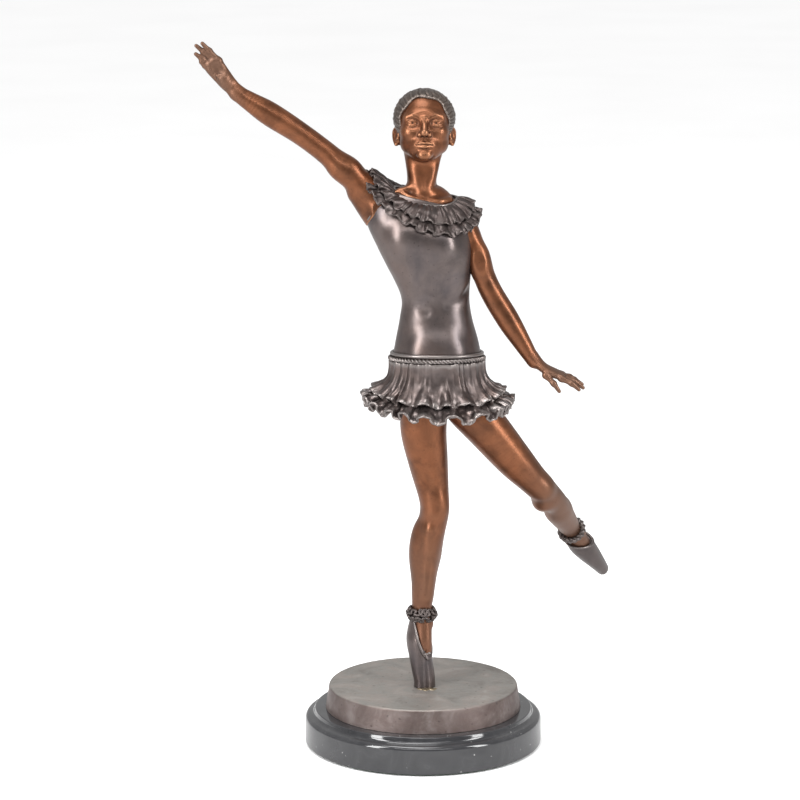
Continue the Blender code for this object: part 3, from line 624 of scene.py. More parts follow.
def rolled_length(start, stop, front):
    """The distance to one straight length of a roll, between two stations."""
    along = stop[:3] - start[:3]
    length = np.linalg.norm(along)
    along = along / length
    deep = np.array(front, float) - along * np.dot(front, along)
    deep = deep / np.linalg.norm(deep)
    wide = np.cross(deep, along)

    def tool(x, y, z):
        offset = (x - start[0], y - start[1], z - start[2])
        way = sum(along[k] * offset[k] for k in range(3))
        share = np.clip(way / length, 0.0, 1.0)
        beyond = way - share * length
        half_wide = start[3] + (stop[3] - start[3]) * share
        half_deep = start[4] + (stop[4] - start[4]) * share
        across = sum(wide[k] * offset[k] for k in range(3))
        depth = sum(deep[k] * offset[k] for k in range(3))
        return egg((across, depth, beyond),
                   (half_wide, half_deep, np.minimum(half_wide, half_deep)))

    return tool


def smooth_line(stations, steps):
    """A curve through tuples of numbers, with the given steps a span."""
    ends = [stations[0], *stations, stations[-1]]
    curve = []
    for before, start, stop, after in zip(ends, ends[1:], ends[2:], ends[3:]):
        for step in range(steps):
            t = step / steps
            curve.append(tuple(
                0.5 * (2 * b + (c - a) * t + (2 * a - 5 * b + 4 * c - d) * t * t
                       + (3 * b - a - 3 * c + d) * t ** 3)
                for a, b, c, d in zip(before, start, stop, after)))
    curve.append(tuple(stations[-1]))
    return curve


def neighbours_mean(values, sides):
    """Each point's neighbours, averaged."""
    count = np.bincount(sides.ravel(), minlength=len(values))
    total = np.stack([np.bincount(sides[:, 0], values[sides[:, 1], k], len(values))
                      + np.bincount(sides[:, 1], values[sides[:, 0], k], len(values))
                      for k in range(values.shape[1])], 1)
    return total / np.maximum(count, 1)[:, None]


def outward(points, faces):
    """The direction that the surface faces at each point."""
    ways = np.cross(points[faces[:, 2]] - points[faces[:, 0]],
                    points[faces[:, 3]] - points[faces[:, 1]])
    total = np.stack([sum(np.bincount(faces[:, corner], ways[:, k], len(points))
                          for corner in range(4)) for k in range(3)], 1)
    return total / np.maximum(np.linalg.norm(total, axis=1), 1e-12)[:, None]


def quad_sides(faces):
    """The pairs of points that the faces' sides join."""
    return np.concatenate([faces[:, [i, (i + 1) % 4]] for i in range(4)])


def relief_of(points, faces, rounds, height):
    """How far each point stands proud of its surroundings: 0 a hollow, 0.5 flat, 1 a crest."""
    sides = quad_sides(faces)
    spread_out = points
    for _ in range(rounds):
        spread_out = neighbours_mean(spread_out, sides)
    proud = ((points - spread_out) * outward(points, faces)).sum(1)
    proud = neighbours_mean(proud[:, None], sides)[:, 0]
    return np.clip(0.5 + proud / (2 * height), 0.0, 1.0)


def cast_in_bronze(name, wax, finish, slot, stands_for, place=None, dull=None, height=0.0005):
    """The finished casting of a wax: an even skin, chased smooth, with its relief noted."""
    points, faces = wax.surface()
    sides = quad_sides(faces)
    for _ in range(2):
        for push in (0.5, -0.52):
            points = points + push * (neighbours_mean(points, sides) - points)
    for _ in range(2):
        points = points - outward(points, faces) * wax.depth_at(points)[:, None]
    points = points + 0.35 * (neighbours_mean(points, sides) - points)
    if place:
        turn = np.array(place.to_3x3())
        points = points @ turn.T + np.array(place.translation)
    marks = {"relief": relief_of(points, faces, 10, height)}
    marks["dull"] = dull(points) if dull else np.zeros(len(points))
    part_mesh(name, points, faces, finish, slot, stands_for, marks)


def rubbed_group():
    """Where hands and cloth have rubbed a casting bright, and where its hollows hold dirt and
    painted shade.
    """
    group = noise_group("rubbed, dirty and shaded", ["Bright", "Dirt And Shade", "Dull"])
    made = group.nodes.new("NodeGroupOutput")
    relief = add_node(group, "Attribute", attribute_name="relief").outputs["Fac"]
    dull = add_node(group, "Attribute", attribute_name="dull").outputs["Fac"]
    uneven = clouds(group, place_on_piece(group), 130.0, 4.0)
    crest = spread(group, relief, 0.0, 1.0, 0.54, 0.86)
    bright = maths(group, "MULTIPLY", crest, spread(group, uneven, 0.3, 1.3), use_clamp=True)
    # The hollows' mask: darker patina and painted shade in creases and recesses.
    hollow = spread(group, relief, 0.0, 1.0, 0.47, 0.12)
    set_sockets(group, made, {"Bright": bright, "Dirt And Shade": hollow, "Dull": dull})
    return group


rubbed = rubbed_group()


def patinated(name, base, light, dark, dulled, rough, mottle=0.35):
    """Bronze under a waxed patina: base colour, rubbed crests, dirt and painted shade in the
    hollows.
    """
    finish, tree, shader = new_finish(name)
    skin = use_group(tree, cast_skin, Patch_Scale=55.0, Grain_Scale=1100.0, Pit_Scale=950.0)
    wide = use_group(tree, cast_skin, Patch_Scale=17.0, Grain_Scale=420.0, Pit_Scale=600.0)
    wear_and_shade = use_group(tree, rubbed)
    cloudy = colour_steps(tree, skin["Patches"], [
        (0.25, tuple(channel * (1 - mottle) for channel in base)),
        (0.52, base),
        (0.80, tuple(channel * (1 + mottle * 0.8) for channel in base))])
    broad = colour_steps(tree, wide["Patches"], [
        (0.30, (0.62, 0.66, 0.72)),
        (0.50, (0.95, 0.95, 0.95)),
        (0.75, (1.0, 0.90, 0.84))])
    body = mixed(tree, 1.0, cloudy, broad, "MULTIPLY")
    body = mixed(tree, wear_and_shade["Bright"], body, (*light, 1.0))
    body = mixed(tree, wear_and_shade["Dull"], body, (*dulled, 1.0))
    # The hollows are painted darker: dirt in the patina and painted shade together.
    body = mixed(tree, wear_and_shade["Dirt And Shade"], body, (*dark, 1.0))
    satin = spread(tree, maths(tree, "MULTIPLY", skin["Grain"], skin["Patches"]),
                   rough - 0.10, rough + 0.22)
    grimy = maths(tree, "MULTIPLY_ADD", wear_and_shade["Dirt And Shade"], 0.3, satin)
    coarse = bumped(tree, wide["Height"], 0.14, 0.0005)
    set_sockets(tree, shader, {
        "Base Color": mixed(tree, skin["Pits"], body, (*dark, 1.0)),
        "Roughness": maths(tree, "MULTIPLY_ADD", wear_and_shade["Dull"], 0.10, grimy),
        "Normal": bumped(tree, skin["Height"], 0.30, 0.0002, coarse),
        "Metallic": 0.85,
        "Coat Weight": 0.12,
        "Coat Roughness": 0.30})
    return finish


skin_bronze = patinated("warm skin patina", base=(0.190, 0.070, 0.031),
                        light=(0.38, 0.18, 0.095), dark=(0.040, 0.018, 0.011),
                        dulled=(0.150, 0.080, 0.052), rough=0.37, mottle=0.48)


def towards(values, start, stop):
    """0 before start, 1 past stop, and a soft change between."""
    share = np.clip((values - start) / (stop - start), 0.0, 1.0)
    return share * share * (3 - 2 * share)


def on_figure(stations):
    """Stations of the dancer in the frame's own heights."""
    return [(x, y, ground + z, *sizes) for x, y, z, *sizes in stations]


def press_on(wax, pellets):
    """Pellets of wax, each with its centre on the dancer, its radii and its blend."""
    for centre, radii, blend in pellets:
        wax.ball(figure(*centre), radii, blend)


heel_way = (-0.55, 0.83, 0.0)         # the standing foot is turned out
standing_leg_form = [
    (0.002, 0.002, 0.270, 0.0215, 0.0225),
    (0.000, 0.003, 0.239, 0.0207, 0.0215),
    (0.004, 0.003, 0.209, 0.0177, 0.0190),
    (0.0095, 0.002, 0.174, 0.0132, 0.0145),
    (0.0095, 0.001, 0.158, 0.0127, 0.0140),
    (0.0043, 0.002, 0.134, 0.0124, 0.0150),
    (0.0018, 0.003, 0.117, 0.0124, 0.0145),
    (-0.0002, 0.000, 0.090, 0.0100, 0.0115),
    (-0.0012, -0.002, 0.072, 0.0088, 0.0098),
    (-0.0015, -0.003, 0.056, 0.0085, 0.0110),
    (-0.0010, -0.006, 0.040, 0.0082, 0.0105),
    (0.0005, -0.009, 0.022, 0.0078, 0.0070),
]
leg_step = 0.0006
leg_wax = Wax(figure(-0.026, -0.028, 0.008), figure(0.030, 0.032, 0.262), leg_step)
leg_wax.roll(on_figure(standing_leg_form), heel_way, 0.0, steps=14)
press_on(leg_wax, (
        ((0.0108, -0.0070, 0.168), (0.0056, 0.0036, 0.0080), 0.013),     # kneecap
        ((-0.0022, 0.0078, 0.126), (0.0072, 0.0078, 0.0200), 0.012),     # calf, inner head
        ((0.0068, 0.0078, 0.132), (0.0064, 0.0068, 0.0180), 0.012),      # calf, outer head
        ((0.0052, -0.0040, 0.0575), (0.0040, 0.0040, 0.0044), 0.003),    # ankle bone, inner
        ((-0.0088, 0.0000, 0.0550), (0.0036, 0.0040, 0.0042), 0.003)))   # ankle bone, outer
leg_wax.roll(on_figure([
    (0.0068, -0.0090, 0.146, 0.0022, 0.0022),
    (0.0048, -0.0090, 0.112, 0.0024, 0.0024),
    (0.0028, -0.0078, 0.084, 0.0020, 0.0020)]), heel_way, 0.010)         # shin
cast_in_bronze("standing_leg_casting", leg_wax, skin_bronze, "skin_bronze", ["standing_leg"],
               dull=lambda p: 0.55 * towards(-(p[:, 2] - ground), -0.200, -0.080))

raised_front = (0.62, -0.30, 0.45)    # where the raised leg's knee faces
raised_leg_form = [
    (0.024, 0.001, 0.280, 0.0170, 0.0180),
    (0.038, 0.002, 0.261, 0.0195, 0.0210),
    (0.0565, 0.004, 0.2395, 0.0190, 0.0200),
    (0.0812, 0.009, 0.2090, 0.0165, 0.0172),
    (0.0960, 0.013, 0.1920, 0.0140, 0.0146),
    (0.1090, 0.021, 0.1772, 0.0128, 0.0126),
    (0.1212, 0.037, 0.1618, 0.0108, 0.0110),
    (0.1270, 0.058, 0.1460, 0.0118, 0.0122),
    (0.1340, 0.077, 0.1325, 0.0102, 0.0105),
    (0.1393, 0.091, 0.1217, 0.0087, 0.0088),
    (0.1465, 0.102, 0.1090, 0.0082, 0.0092),
    (0.1550, 0.116, 0.0940, 0.0078, 0.0080),
]
leg_wax = Wax(figure(0.010, -0.030, 0.080), figure(0.176, 0.134, 0.284), leg_step)
leg_wax.roll(on_figure(raised_leg_form), raised_front, 0.0, steps=14)
press_on(leg_wax, (
        ((0.1090, 0.0125, 0.1800), (0.0056, 0.0048, 0.0056), 0.012),     # kneecap
        ((0.1085, 0.0270, 0.1640), (0.0080, 0.0090, 0.0080), 0.010),     # back of the knee
        ((0.1225, 0.0560, 0.1535), (0.0084, 0.0100, 0.0086), 0.012),     # calf
        ((0.1490, 0.0930, 0.1190), (0.0036, 0.0040, 0.0038), 0.003),     # ankle bone, outer
        ((0.1330, 0.0960, 0.1130), (0.0036, 0.0038, 0.0038), 0.003)))    # ankle bone, inner
cast_in_bronze("raised_leg_casting", leg_wax, skin_bronze, "skin_bronze", ["raised_leg"],
               dull=lambda p: 0.90 * towards(p[:, 0], 0.085, 0.135))


# Slippers. Thin satin shoes, modelled straight on the feet with a bound edge round the instep,
# and given the dark patina of the dress. The standing one is blocked flat at the toe.

dress_bronze = patinated("dark dress patina", base=(0.128, 0.102, 0.096),
                         light=(0.230, 0.205, 0.195), dark=(0.024, 0.017, 0.016),
                         dulled=(0.052, 0.038, 0.035), rough=0.34, mottle=0.22)
binding = 0.0011                      # radius of the bound edge
slipper_step = 0.00036


def round_roll(line, radius):
    """Stations of an evenly round roll along points of the dancer."""
    return on_figure([(*point, radius, radius) for point in line])


def slipper(name, node, form, front, box, opening, way, curl, creases, bow, dulled=0.0):
    """A shoe over the foot's form, cut open by a curved sheet through the given point."""
    wax = Wax(figure(*box[0]), figure(*box[1]), slipper_step)
    wax.roll(on_figure(form), front, 0.0)
    for line, radius in creases:
        wax.roll(round_roll(line, radius), front, 0.0012, carve=True)
    way = Vector(way).normalized()
    side = way.cross(Vector(front)).normalized()
    middle = figure(*opening)

    def beyond(x, y, z):
        offset = (x - middle.x, y - middle.y, z - middle.z)
        high = sum(way[k] * offset[k] for k in range(3))
        across = sum(side[k] * offset[k] for k in range(3))
        return -(high - curl * np.abs(across) ** 1.5)

    foot = wax.wax.copy()
    wax.work(*wax.everywhere(), beyond, 0.0004, carve=True)
    wax.work(*wax.everywhere(),
             lambda x, y, z: np.sqrt(foot ** 2 + beyond(x, y, z) ** 2) - binding, 0.0006)
    for centre, radii in bow:
        wax.ball(figure(*centre), radii, 0.0005)
    cast_in_bronze(name, wax, dress_bronze, "dark_bronze", [node], height=0.0003,
                   dull=lambda points: np.full(len(points), dulled))


standing_foot_form = [
    (-0.0028, -0.0020, 0.0600, 0.0085, 0.0110),
    (-0.0040, -0.0027, 0.0480, 0.0098, 0.0133),
    (-0.0040, -0.0045, 0.0400, 0.0105, 0.0130),
    (-0.0022, -0.0070, 0.0270, 0.0105, 0.0105),
    (0.0000, -0.0090, 0.0140, 0.0105, 0.0090),
    (0.0012, -0.0100, 0.0060, 0.0100, 0.0088),
    (0.0012, -0.0100, -0.0030, 0.0104, 0.0092),
]
slipper("standing_slipper_casting", "standing_slipper", standing_foot_form, heel_way,
        ((-0.022, -0.026, 0.0003), (0.016, 0.016, 0.066)),
        opening=(0.0035, -0.0125, 0.0330), way=(0.62, -0.60, 0.52), curl=2.2,
        creases=[([(0.0022, -0.0180, 0.033), (0.0028, -0.0192, 0.018), (0.0036, -0.0202, -0.002)],
                  0.0021)],
        bow=[((0.0028, -0.0200, 0.0330), (0.0022, 0.0014, 0.0012)),
             ((0.0055, -0.0195, 0.0338), (0.0018, 0.0013, 0.0011))])
raised_foot_form = [
    (0.1400, 0.0920, 0.1200, 0.0090, 0.0098),
    (0.1485, 0.1060, 0.1050, 0.0099, 0.0118),
    (0.1560, 0.1165, 0.0942, 0.0098, 0.0105),
    (0.1642, 0.1280, 0.0828, 0.0088, 0.0080),
    (0.1712, 0.1390, 0.0723, 0.0070, 0.0060),
]
slipper("raised_slipper_casting", "raised_slipper", raised_foot_form, raised_front,
        ((0.124, 0.078, 0.060), (0.184, 0.150, 0.134)),
        opening=(0.1500, 0.1030, 0.1085), way=(0.25, -0.72, 0.62), curl=2.6,
        creases=[], bow=[((0.1590, 0.1085, 0.1060), (0.0018, 0.0016, 0.0014))], dulled=0.35)


# Toe braze. A smear of brass run round the pointed toe where it meets the plinth, which closes
# the joint over the stud. It was filed by hand and left brighter than the bronze.

braze = patinated("bright braze", base=(0.300, 0.235, 0.150), light=(0.42, 0.36, 0.25),
                  dark=(0.090, 0.064, 0.046), dulled=(0.160, 0.130, 0.100), rough=0.40)
braze_points, braze_faces = turned(
    [(0.0, 0.00075), (0.0030, 0.00070), (0.0055, 0.00050), (0.0070, 0.00020), (0.0074, -0.0002)],
    96, lambda point: Vector((
        point.x * (1.25 + 0.5 * noise.noise(point * 260)) + 0.0040,
        point.y * (0.62 + 0.3 * noise.noise(point * 310)) - 0.0195,
        point.z + ground + 0.0002 * noise.noise(point * 900))))
part_mesh("toe_braze", braze_points, braze_faces, braze, "dark_bronze", [],
          {"relief": np.full(len(braze_points), 0.5), "dull": np.zeros(len(braze_points))})


# Garters. Narrow ruffles gathered tight round each ankle, so that their edges curl over and
# lock into knots. They were made as wax ribbons and have the dress's patina, gone dull.

pleats_per_fold = 1.7
crinkles_per_metre = 190.0
hem_starts = 0.80                     # of the way down the ribbon
noise.seed_set(4)                     # the same crinkles each time


def unit(vectors):
    """Each direction, one long."""
    return vectors / np.maximum(np.linalg.norm(vectors, axis=-1, keepdims=True), 1e-12)


def fold_phase(folds, columns, chance):
    """Where each column lies in its fold, for folds of uneven width, and each fold's height."""
    widths = np.array([chance.uniform(0.50, 1.50) for _ in range(folds)])
    ends = np.concatenate([[0.0], np.cumsum(widths) / widths.sum()])
    turn = np.arange(columns) / columns
    phase = np.interp(turn, ends, np.arange(folds + 1.0)) - folds * turn
    height = np.interp(turn * folds, np.arange(folds + 1.0),
                       [*(chance.uniform(0.70, 1.25) for _ in range(folds)), 1.0])
    height[-columns // folds:] = np.linspace(height[-columns // folds], height[0],
                                             len(height[-columns // folds:]))
    width = max(columns // (folds * 3), 1)
    kernel = np.hanning(2 * width + 3)
    kernel = kernel / kernel.sum()

    def eased(line):
        """A line of numbers round the ribbon, with its kinks smoothed."""
        wrapped = np.concatenate([line[-width - 1:], line, line[:width + 1]])
        return np.convolve(wrapped, kernel, "valid")

    return eased(phase) + folds * turn, eased(height)


def in_dress_bronze(name, points, faces, nodes, rounds, height, dulled):
    """A ribbon or cord in the dress's bronze, evenly dulled, with its relief noted."""
    part_mesh(name, points, faces, dress_bronze, "dark_bronze", nodes,
              {"relief": relief_of(points, faces, rounds, height),
               "dull": np.full(len(points), dulled)})


def ruffle(name, nodes, inner, outer, folds, depth, curl, thickness, hem, seed, gather=0.25,
           bow_out=0.0, columns=1200, rows=22, small_pleats=0.0, power=1.15, crinkle=0.0,
           lift=0.0, dulled=0.0):
    """A gathered ribbon between two rings, its folds deepening towards a rolled hem.

    depth is the folds' height at the hem, curl how far they lean over their neighbours, and
    lift how far each fold pulls the hem up.
    """
    chance = random.Random(seed)
    phase, height = fold_phase(folds, columns, chance)
    pleat_phase, pleat_height = fold_phase(int(folds * pleats_per_fold), columns, chance)
    turns = 2 * math.pi * np.arange(columns) / columns
    start = np.array([inner(turn) for turn in turns])
    stop = np.array([outer(turn) for turn in turns])
    across = unit(stop - start)
    along = unit(np.roll(stop, -1, 0) - np.roll(stop, 1, 0))
    up = unit(np.cross(across, along))
    share = np.linspace(0.0, 1.0, rows)[None, :, None]
    grown = gather + (1 - gather) * share ** power
    swing = (height * np.sin(2 * math.pi * phase))[:, None, None]
    lean = np.sin(4 * math.pi * phase)[:, None, None]
    pleats = (pleat_height * np.sin(2 * math.pi * pleat_phase))[:, None, None]
    middle = (start[:, None] + (stop - start)[:, None] * share
              + up[:, None] * (depth * grown * swing + bow_out * np.sin(math.pi * share)
                               + small_pleats * pleats * (1 - share))
              - along[:, None] * curl * grown * lean)
    middle[:, :, 2] += lift * (grown * swing)[:, :, 0]
    if crinkle:
        middle = middle + crinkle * grown * np.array([
            [noise.noise_vector(Vector(point) * crinkles_per_metre) for point in row]
            for row in middle])
    round_way = np.roll(middle, -1, 0) - np.roll(middle, 1, 0)
    out_way = np.gradient(middle, axis=1)
    face = unit(np.cross(out_way, round_way))
    edge_way = unit(out_way[:, -1])
    swell = towards(np.linspace(0.0, 1.0, rows), hem_starts, 1.0)[None, :, None]
    half = thickness / 2 + (hem - thickness / 2) * swell
    upper = middle + face * half
    lower = middle - face * half
    bends = [math.pi * k / 6 for k in range(1, 6)]
    rolled = [middle[:, -1] + hem * (math.cos(bend) * face[:, -1] + math.sin(bend) * edge_way)
              for bend in bends]
    section = np.concatenate([upper, np.stack(rolled, 1), lower[:, ::-1]], axis=1)
    count = section.shape[1]
    index = np.arange(columns)[:, None] * count + np.arange(count)[None, :]
    ahead = np.roll(index, -1, 0)
    faces = np.stack([index, np.roll(index, -1, 1), np.roll(ahead, -1, 1), ahead], -1)
    points, faces = section.reshape(-1, 3), faces.reshape(-1, 4)
    if (outward(points, faces).reshape(columns, count, 3)[:, :rows] * face).sum() < 0:
        faces = faces[:, ::-1]
    in_dress_bronze(name, points, faces, nodes, 14, 0.0005, dulled)


def strands(name, nodes, ring, count, turns, strand_radius, lay_radius, steps=1200, sides=10,
            dulled=0.0):
    """A cord of twisted strands, laid round a ring. One strand alone is a smooth bead."""
    where = 2 * math.pi * np.arange(steps) / steps
    line = np.array([ring(turn) for turn in where])
    along = unit(np.roll(line, -1, 0) - np.roll(line, 1, 0))
    out = line - line.mean(0)
    out = unit(out - along * (out * along).sum(1, keepdims=True))
    up = np.cross(along, out)
    points, faces = [], []
    for strand in range(count):
        twist = turns * where + 2 * math.pi * strand / count
        away = np.cos(twist)[:, None] * out + np.sin(twist)[:, None] * up
        centre = line + away * lay_radius
        first = len(points) * steps * sides
        section = np.stack([
            centre + strand_radius * (math.cos(angle) * out + math.sin(angle) * up)
            for angle in (2 * math.pi * k / sides for k in range(sides))], 1)
        points.append(section.reshape(-1, 3))
        index = first + np.arange(steps)[:, None] * sides + np.arange(sides)[None, :]
        ahead = first + (index - first + sides) % (steps * sides)
        faces.append(np.stack([index, ahead, np.roll(ahead, -1, 1), np.roll(index, -1, 1)],
                              -1).reshape(-1, 4))
    points, faces = np.concatenate(points), np.concatenate(faces)[:, ::-1]
    in_dress_bronze(name, points, faces, nodes, 10, 0.0004, dulled)


def tilted_ring(centre, axis, radius):
    """A round ring square to an axis."""
    turn_to = Vector(axis).to_track_quat("Z", "Y").to_matrix()
    centre = Vector(centre)
    return lambda turn: centre + turn_to @ Vector((radius * math.cos(turn),
                                                   radius * math.sin(turn), 0.0))


garter_axis = Vector((0.02, 0.0, 1.0))
garter_centre = figure(-0.0014, -0.0025, 0.0668)
for tier, (offset, rise, seed) in enumerate(((0.0004, 0.0030, 3), (-0.0004, -0.0030, 8))):
    ring_centre = garter_centre + Vector((0, 0, offset))
    ruffle(f"standing_garter_tier_{tier + 1}", ["standing_ankle_frill"] if tier == 0 else [],
           tilted_ring(ring_centre, garter_axis, 0.0088),
           tilted_ring(ring_centre + Vector((0, 0, rise)), garter_axis, 0.0120),
           folds=11, depth=0.0020, curl=0.0011, thickness=0.0018, hem=0.00125, seed=seed,
           gather=0.5, columns=720, rows=12, crinkle=0.0009, lift=0.0008, dulled=0.7)
ankle_low, ankle_high = figure(0.1393, 0.091, 0.1217), figure(0.1340, 0.077, 0.1325)
ankle_axis = (ankle_high - ankle_low).normalized()
strands("raised_garter_cord", ["raised_ankle_frill"],
        tilted_ring(ankle_low, ankle_axis, 0.0108), 2, 8, 0.0021, 0.0010, steps=700,
        dulled=0.6)
strands("raised_garter_band", [],
        tilted_ring(ankle_low - ankle_axis * 0.0034, ankle_axis, 0.0100), 1, 0, 0.0013, 0.0,
        steps=400, dulled=0.6)


# Bodice. The torso from hips to neckline is one hollow casting, smooth as a leotard, with a
# few drag lines at the waist and a bound edge at the raised arm's hole. Dark patina.

torso_form = [
    (0.014, 0.002, 0.243, 0.022, 0.017),
    (0.014, 0.002, 0.254, 0.033, 0.024),
    (0.013, 0.002, 0.272, 0.040, 0.029),
    (0.012, 0.002, 0.296, 0.041, 0.030),
    (0.012, 0.001, 0.318, 0.0375, 0.027),
    (0.011, 0.000, 0.340, 0.0325, 0.024),
    (0.0105, 0.000, 0.358, 0.0305, 0.0225),
    (0.0070, -0.001, 0.378, 0.0349, 0.0240),
    (0.0012, -0.002, 0.402, 0.0426, 0.0268),
    (-0.0042, -0.001, 0.420, 0.0470, 0.0275),
    (-0.0050, 0.001, 0.434, 0.0463, 0.0255),
    (-0.001, 0.003, 0.446, 0.0350, 0.0215),
    (0.0015, 0.004, 0.452, 0.0250, 0.0180),
]
shoulder_tilt = math.tan(math.radians(13))    # the raised arm lifts its shoulder
tilt_starts = 0.385
torso_foot = 0.252                    # the hips end inside the tops of the legs
neck_opening = 0.4485
torso_wax = Wax(figure(-0.056, -0.036, 0.236), figure(0.062, 0.038, 0.470), 0.0008)
torso_curve = np.array(smooth_line(torso_form, 12))


def torso_tool(x, y, z):
    """The body as a stack of ovals, level at the hips and tilted at the shoulders."""
    height = z - ground
    lean = np.clip((height - tilt_starts) / (torso_form[-1][2] - tilt_starts), 0.0, 1.0)
    height = height + (x - 0.002) * shoulder_tilt * lean
    level = torso_curve[:, 2]
    middle_x, middle_y, wide, deep = (np.interp(height, level, torso_curve[:, k])
                                      for k in (0, 1, 3, 4))
    a, b = (x - middle_x) / wide, (y - middle_y) / deep
    near = np.sqrt(a * a + b * b)
    slope = np.sqrt((a / wide) ** 2 + (b / deep) ** 2)
    round_it = near * (near - 1) / np.maximum(slope, 1e-3)
    ends = np.maximum(torso_foot - height, height - neck_opening)
    return np.maximum(round_it, ends * 0.9)


torso_wax.work(*torso_wax.everywhere(), torso_tool, 0.0)
armhole = np.array(figure(-0.0590, 0.0000, 0.4550))
armhole_radii = np.array((0.0190, 0.0340, 0.0290))
armhole_binding = 0.0010
press_on(torso_wax, (
        ((-0.0135, -0.0215, 0.4130), (0.0135, 0.0085, 0.0140), 0.014),    # bust
        ((0.0140, -0.0215, 0.4080), (0.0135, 0.0085, 0.0140), 0.014),
        ((0.0120, -0.0180, 0.3120), (0.0200, 0.0090, 0.0140), 0.016),     # belly
        ((0.0000, 0.0165, 0.2770), (0.0200, 0.0120, 0.0170), 0.012),      # seat
        ((0.0270, 0.0165, 0.2760), (0.0180, 0.0120, 0.0160), 0.012)))
for line, radius in (
        ([(-0.030, -0.0135, 0.375), (-0.018, -0.0250, 0.364), (-0.004, -0.0265, 0.357)], 0.0022),
        ([(-0.027, -0.0110, 0.360), (-0.014, -0.0235, 0.352), (0.002, -0.0255, 0.349)], 0.0020),
        ([(0.0420, -0.0080, 0.366), (0.034, -0.0190, 0.358), (0.022, -0.0250, 0.355)], 0.0020),
        ([(0.010, 0.0180, 0.440), (0.010, 0.0245, 0.400), (0.010, 0.0250, 0.345)], 0.0030),
        ([(-0.026, 0.0150, 0.372), (-0.012, 0.0230, 0.361), (0.004, 0.0250, 0.356)], 0.0020)):
    torso_wax.roll(round_roll(line, radius), (0, -1, 0), 0.006, carve=True)
whole_torso = torso_wax.wax.copy()


def hole_tool(x, y, z):
    """The egg-shaped room that the raised arm needs in the bodice."""
    local = [axis - armhole[k] for k, axis in enumerate((x, y, z))]
    return (egg_share(local, armhole_radii) - 1) * armhole_radii.min()


torso_wax.ball(armhole, armhole_radii, 0.0008, carve=True)
torso_wax.work(*torso_wax.everywhere(), lambda x, y, z: np.sqrt(
    whole_torso ** 2 + hole_tool(x, y, z) ** 2) - armhole_binding, 0.0008)
cast_in_bronze("bodice_casting", torso_wax, dress_bronze, "dark_bronze", ["bodice"],
               height=0.0008)


# Hip cord. A silk cord tied round the hips over the skirt's gathers: in bronze it is a smooth
# band with a two-strand rope lying under it, chased into slanting beads.

def oval(centre, half_width, half_depth, rise_side, rise_front, rise_back):
    """A ring round the body: rise_side lifts +X, the others lift the front and the back."""
    def point(turn):
        across, deep = math.cos(turn), math.sin(turn)
        rise = rise_side * across + (rise_front * -deep if deep < 0 else rise_back * deep)
        return figure(centre[0] + half_width * across, centre[1] + half_depth * deep,
                      centre[2] + rise)
    return point


strands("hip_cord_rope", ["hip_cord"],
        oval((0.012, 0.0005, 0.3040), 0.0421, 0.0345, 0.0, 0.0025, -0.001), 2, 36, 0.00125,
        0.00085, steps=1500)
strands("hip_cord_band", [],
        oval((0.012, 0.0005, 0.3082), 0.0408, 0.0332, 0.0, 0.0025, -0.001), 1, 0, 0.0016, 0.0)


# Skirt. Two ruffles gathered under the cord, the lower one fuller. They were laid up in sheet
# wax, pinched into folds by hand, and their hems rolled thick so that the bronze would fill.

waist = oval((0.0120, 0.0005, 0.3018), 0.0420, 0.0338, 0.0, 0.0022, -0.001)
upper_hem = oval((0.0125, 0.002, 0.2738), 0.0585, 0.0455, -0.001, -0.0056, -0.003)
band = oval((0.012, 0.0015, 0.2775), 0.0450, 0.0340, 0.0, -0.0050, -0.002)
lower_hem = oval((0.0125, 0.002, 0.2658), 0.0675, 0.0535, -0.0025, -0.0090, -0.006)
ruffle("skirt_upper_ruffle", ["skirt_upper_frill"], waist, upper_hem, folds=18, depth=0.0030,
       curl=0.0007, thickness=0.0018, hem=0.00100, seed=21, gather=0.17, bow_out=-0.0060,
       columns=1500, rows=34, small_pleats=0.0006, power=3.4, crinkle=0.0011, lift=0.0015)
ruffle("skirt_lower_ruffle", ["skirt_lower_frill"], band, lower_hem, folds=19, depth=0.0038,
       curl=0.0016, thickness=0.0016, hem=0.00100, seed=34, gather=0.12, bow_out=-0.0016,
       columns=1600, rows=24, power=1.5, crinkle=0.0016, lift=0.0015)


# Collar. Two more ruffles on the shoulders, the lower one wider, with a thin bound edge at the
# neckline. The raised arm bunches them up on its shoulder.

neck_line = oval((0.0015, 0.003, 0.4530), 0.0285, 0.0215, -0.0045, -0.0085, -0.002)
upper_edge = oval((-0.001, 0.002, 0.4598), 0.0455, 0.0325, -0.0150, -0.0262, -0.016)
collar_band = oval((0.0005, 0.003, 0.4505), 0.0330, 0.0250, -0.0090, -0.0150, -0.003)
lower_edge = oval((-0.002, 0.001, 0.4543), 0.0525, 0.0355, -0.0188, -0.0285, -0.020)
ruffle("collar_upper_ruffle", ["collar_upper_frill"], neck_line, upper_edge, folds=25,
       depth=0.0015, curl=0.0005, thickness=0.0016, hem=0.00085, seed=5, gather=0.12,
       bow_out=0.0016, columns=1400, rows=22, small_pleats=0.0004, power=1.8, crinkle=0.0014,
       lift=0.0006, dulled=0.75)
ruffle("collar_lower_ruffle", ["collar_lower_frill"], collar_band, lower_edge, folds=29,
       depth=0.0019, curl=0.0008, thickness=0.0016, hem=0.00085, seed=13, gather=0.12,
       bow_out=0.0012, columns=1500, rows=20, power=1.6, crinkle=0.0017, lift=0.0007,
       dulled=0.75)
strands("neckline_binding", [],
        oval((0.0015, 0.003, 0.4536), 0.0280, 0.0210, -0.0045, -0.0085, -0.002), 1, 0, 0.0011,
        0.0, steps=600)


# Arms. Each is cast with its hand and let into the shoulder on a round tenon. The open hands
# were handled most, so their patina has gone brown and dull.

arm_step = 0.0005
finger_radii = (0.0027, 0.0024, 0.0017)
knuckle_radii = (0.0031, 0.0027)      # at the palm and at the middle joint


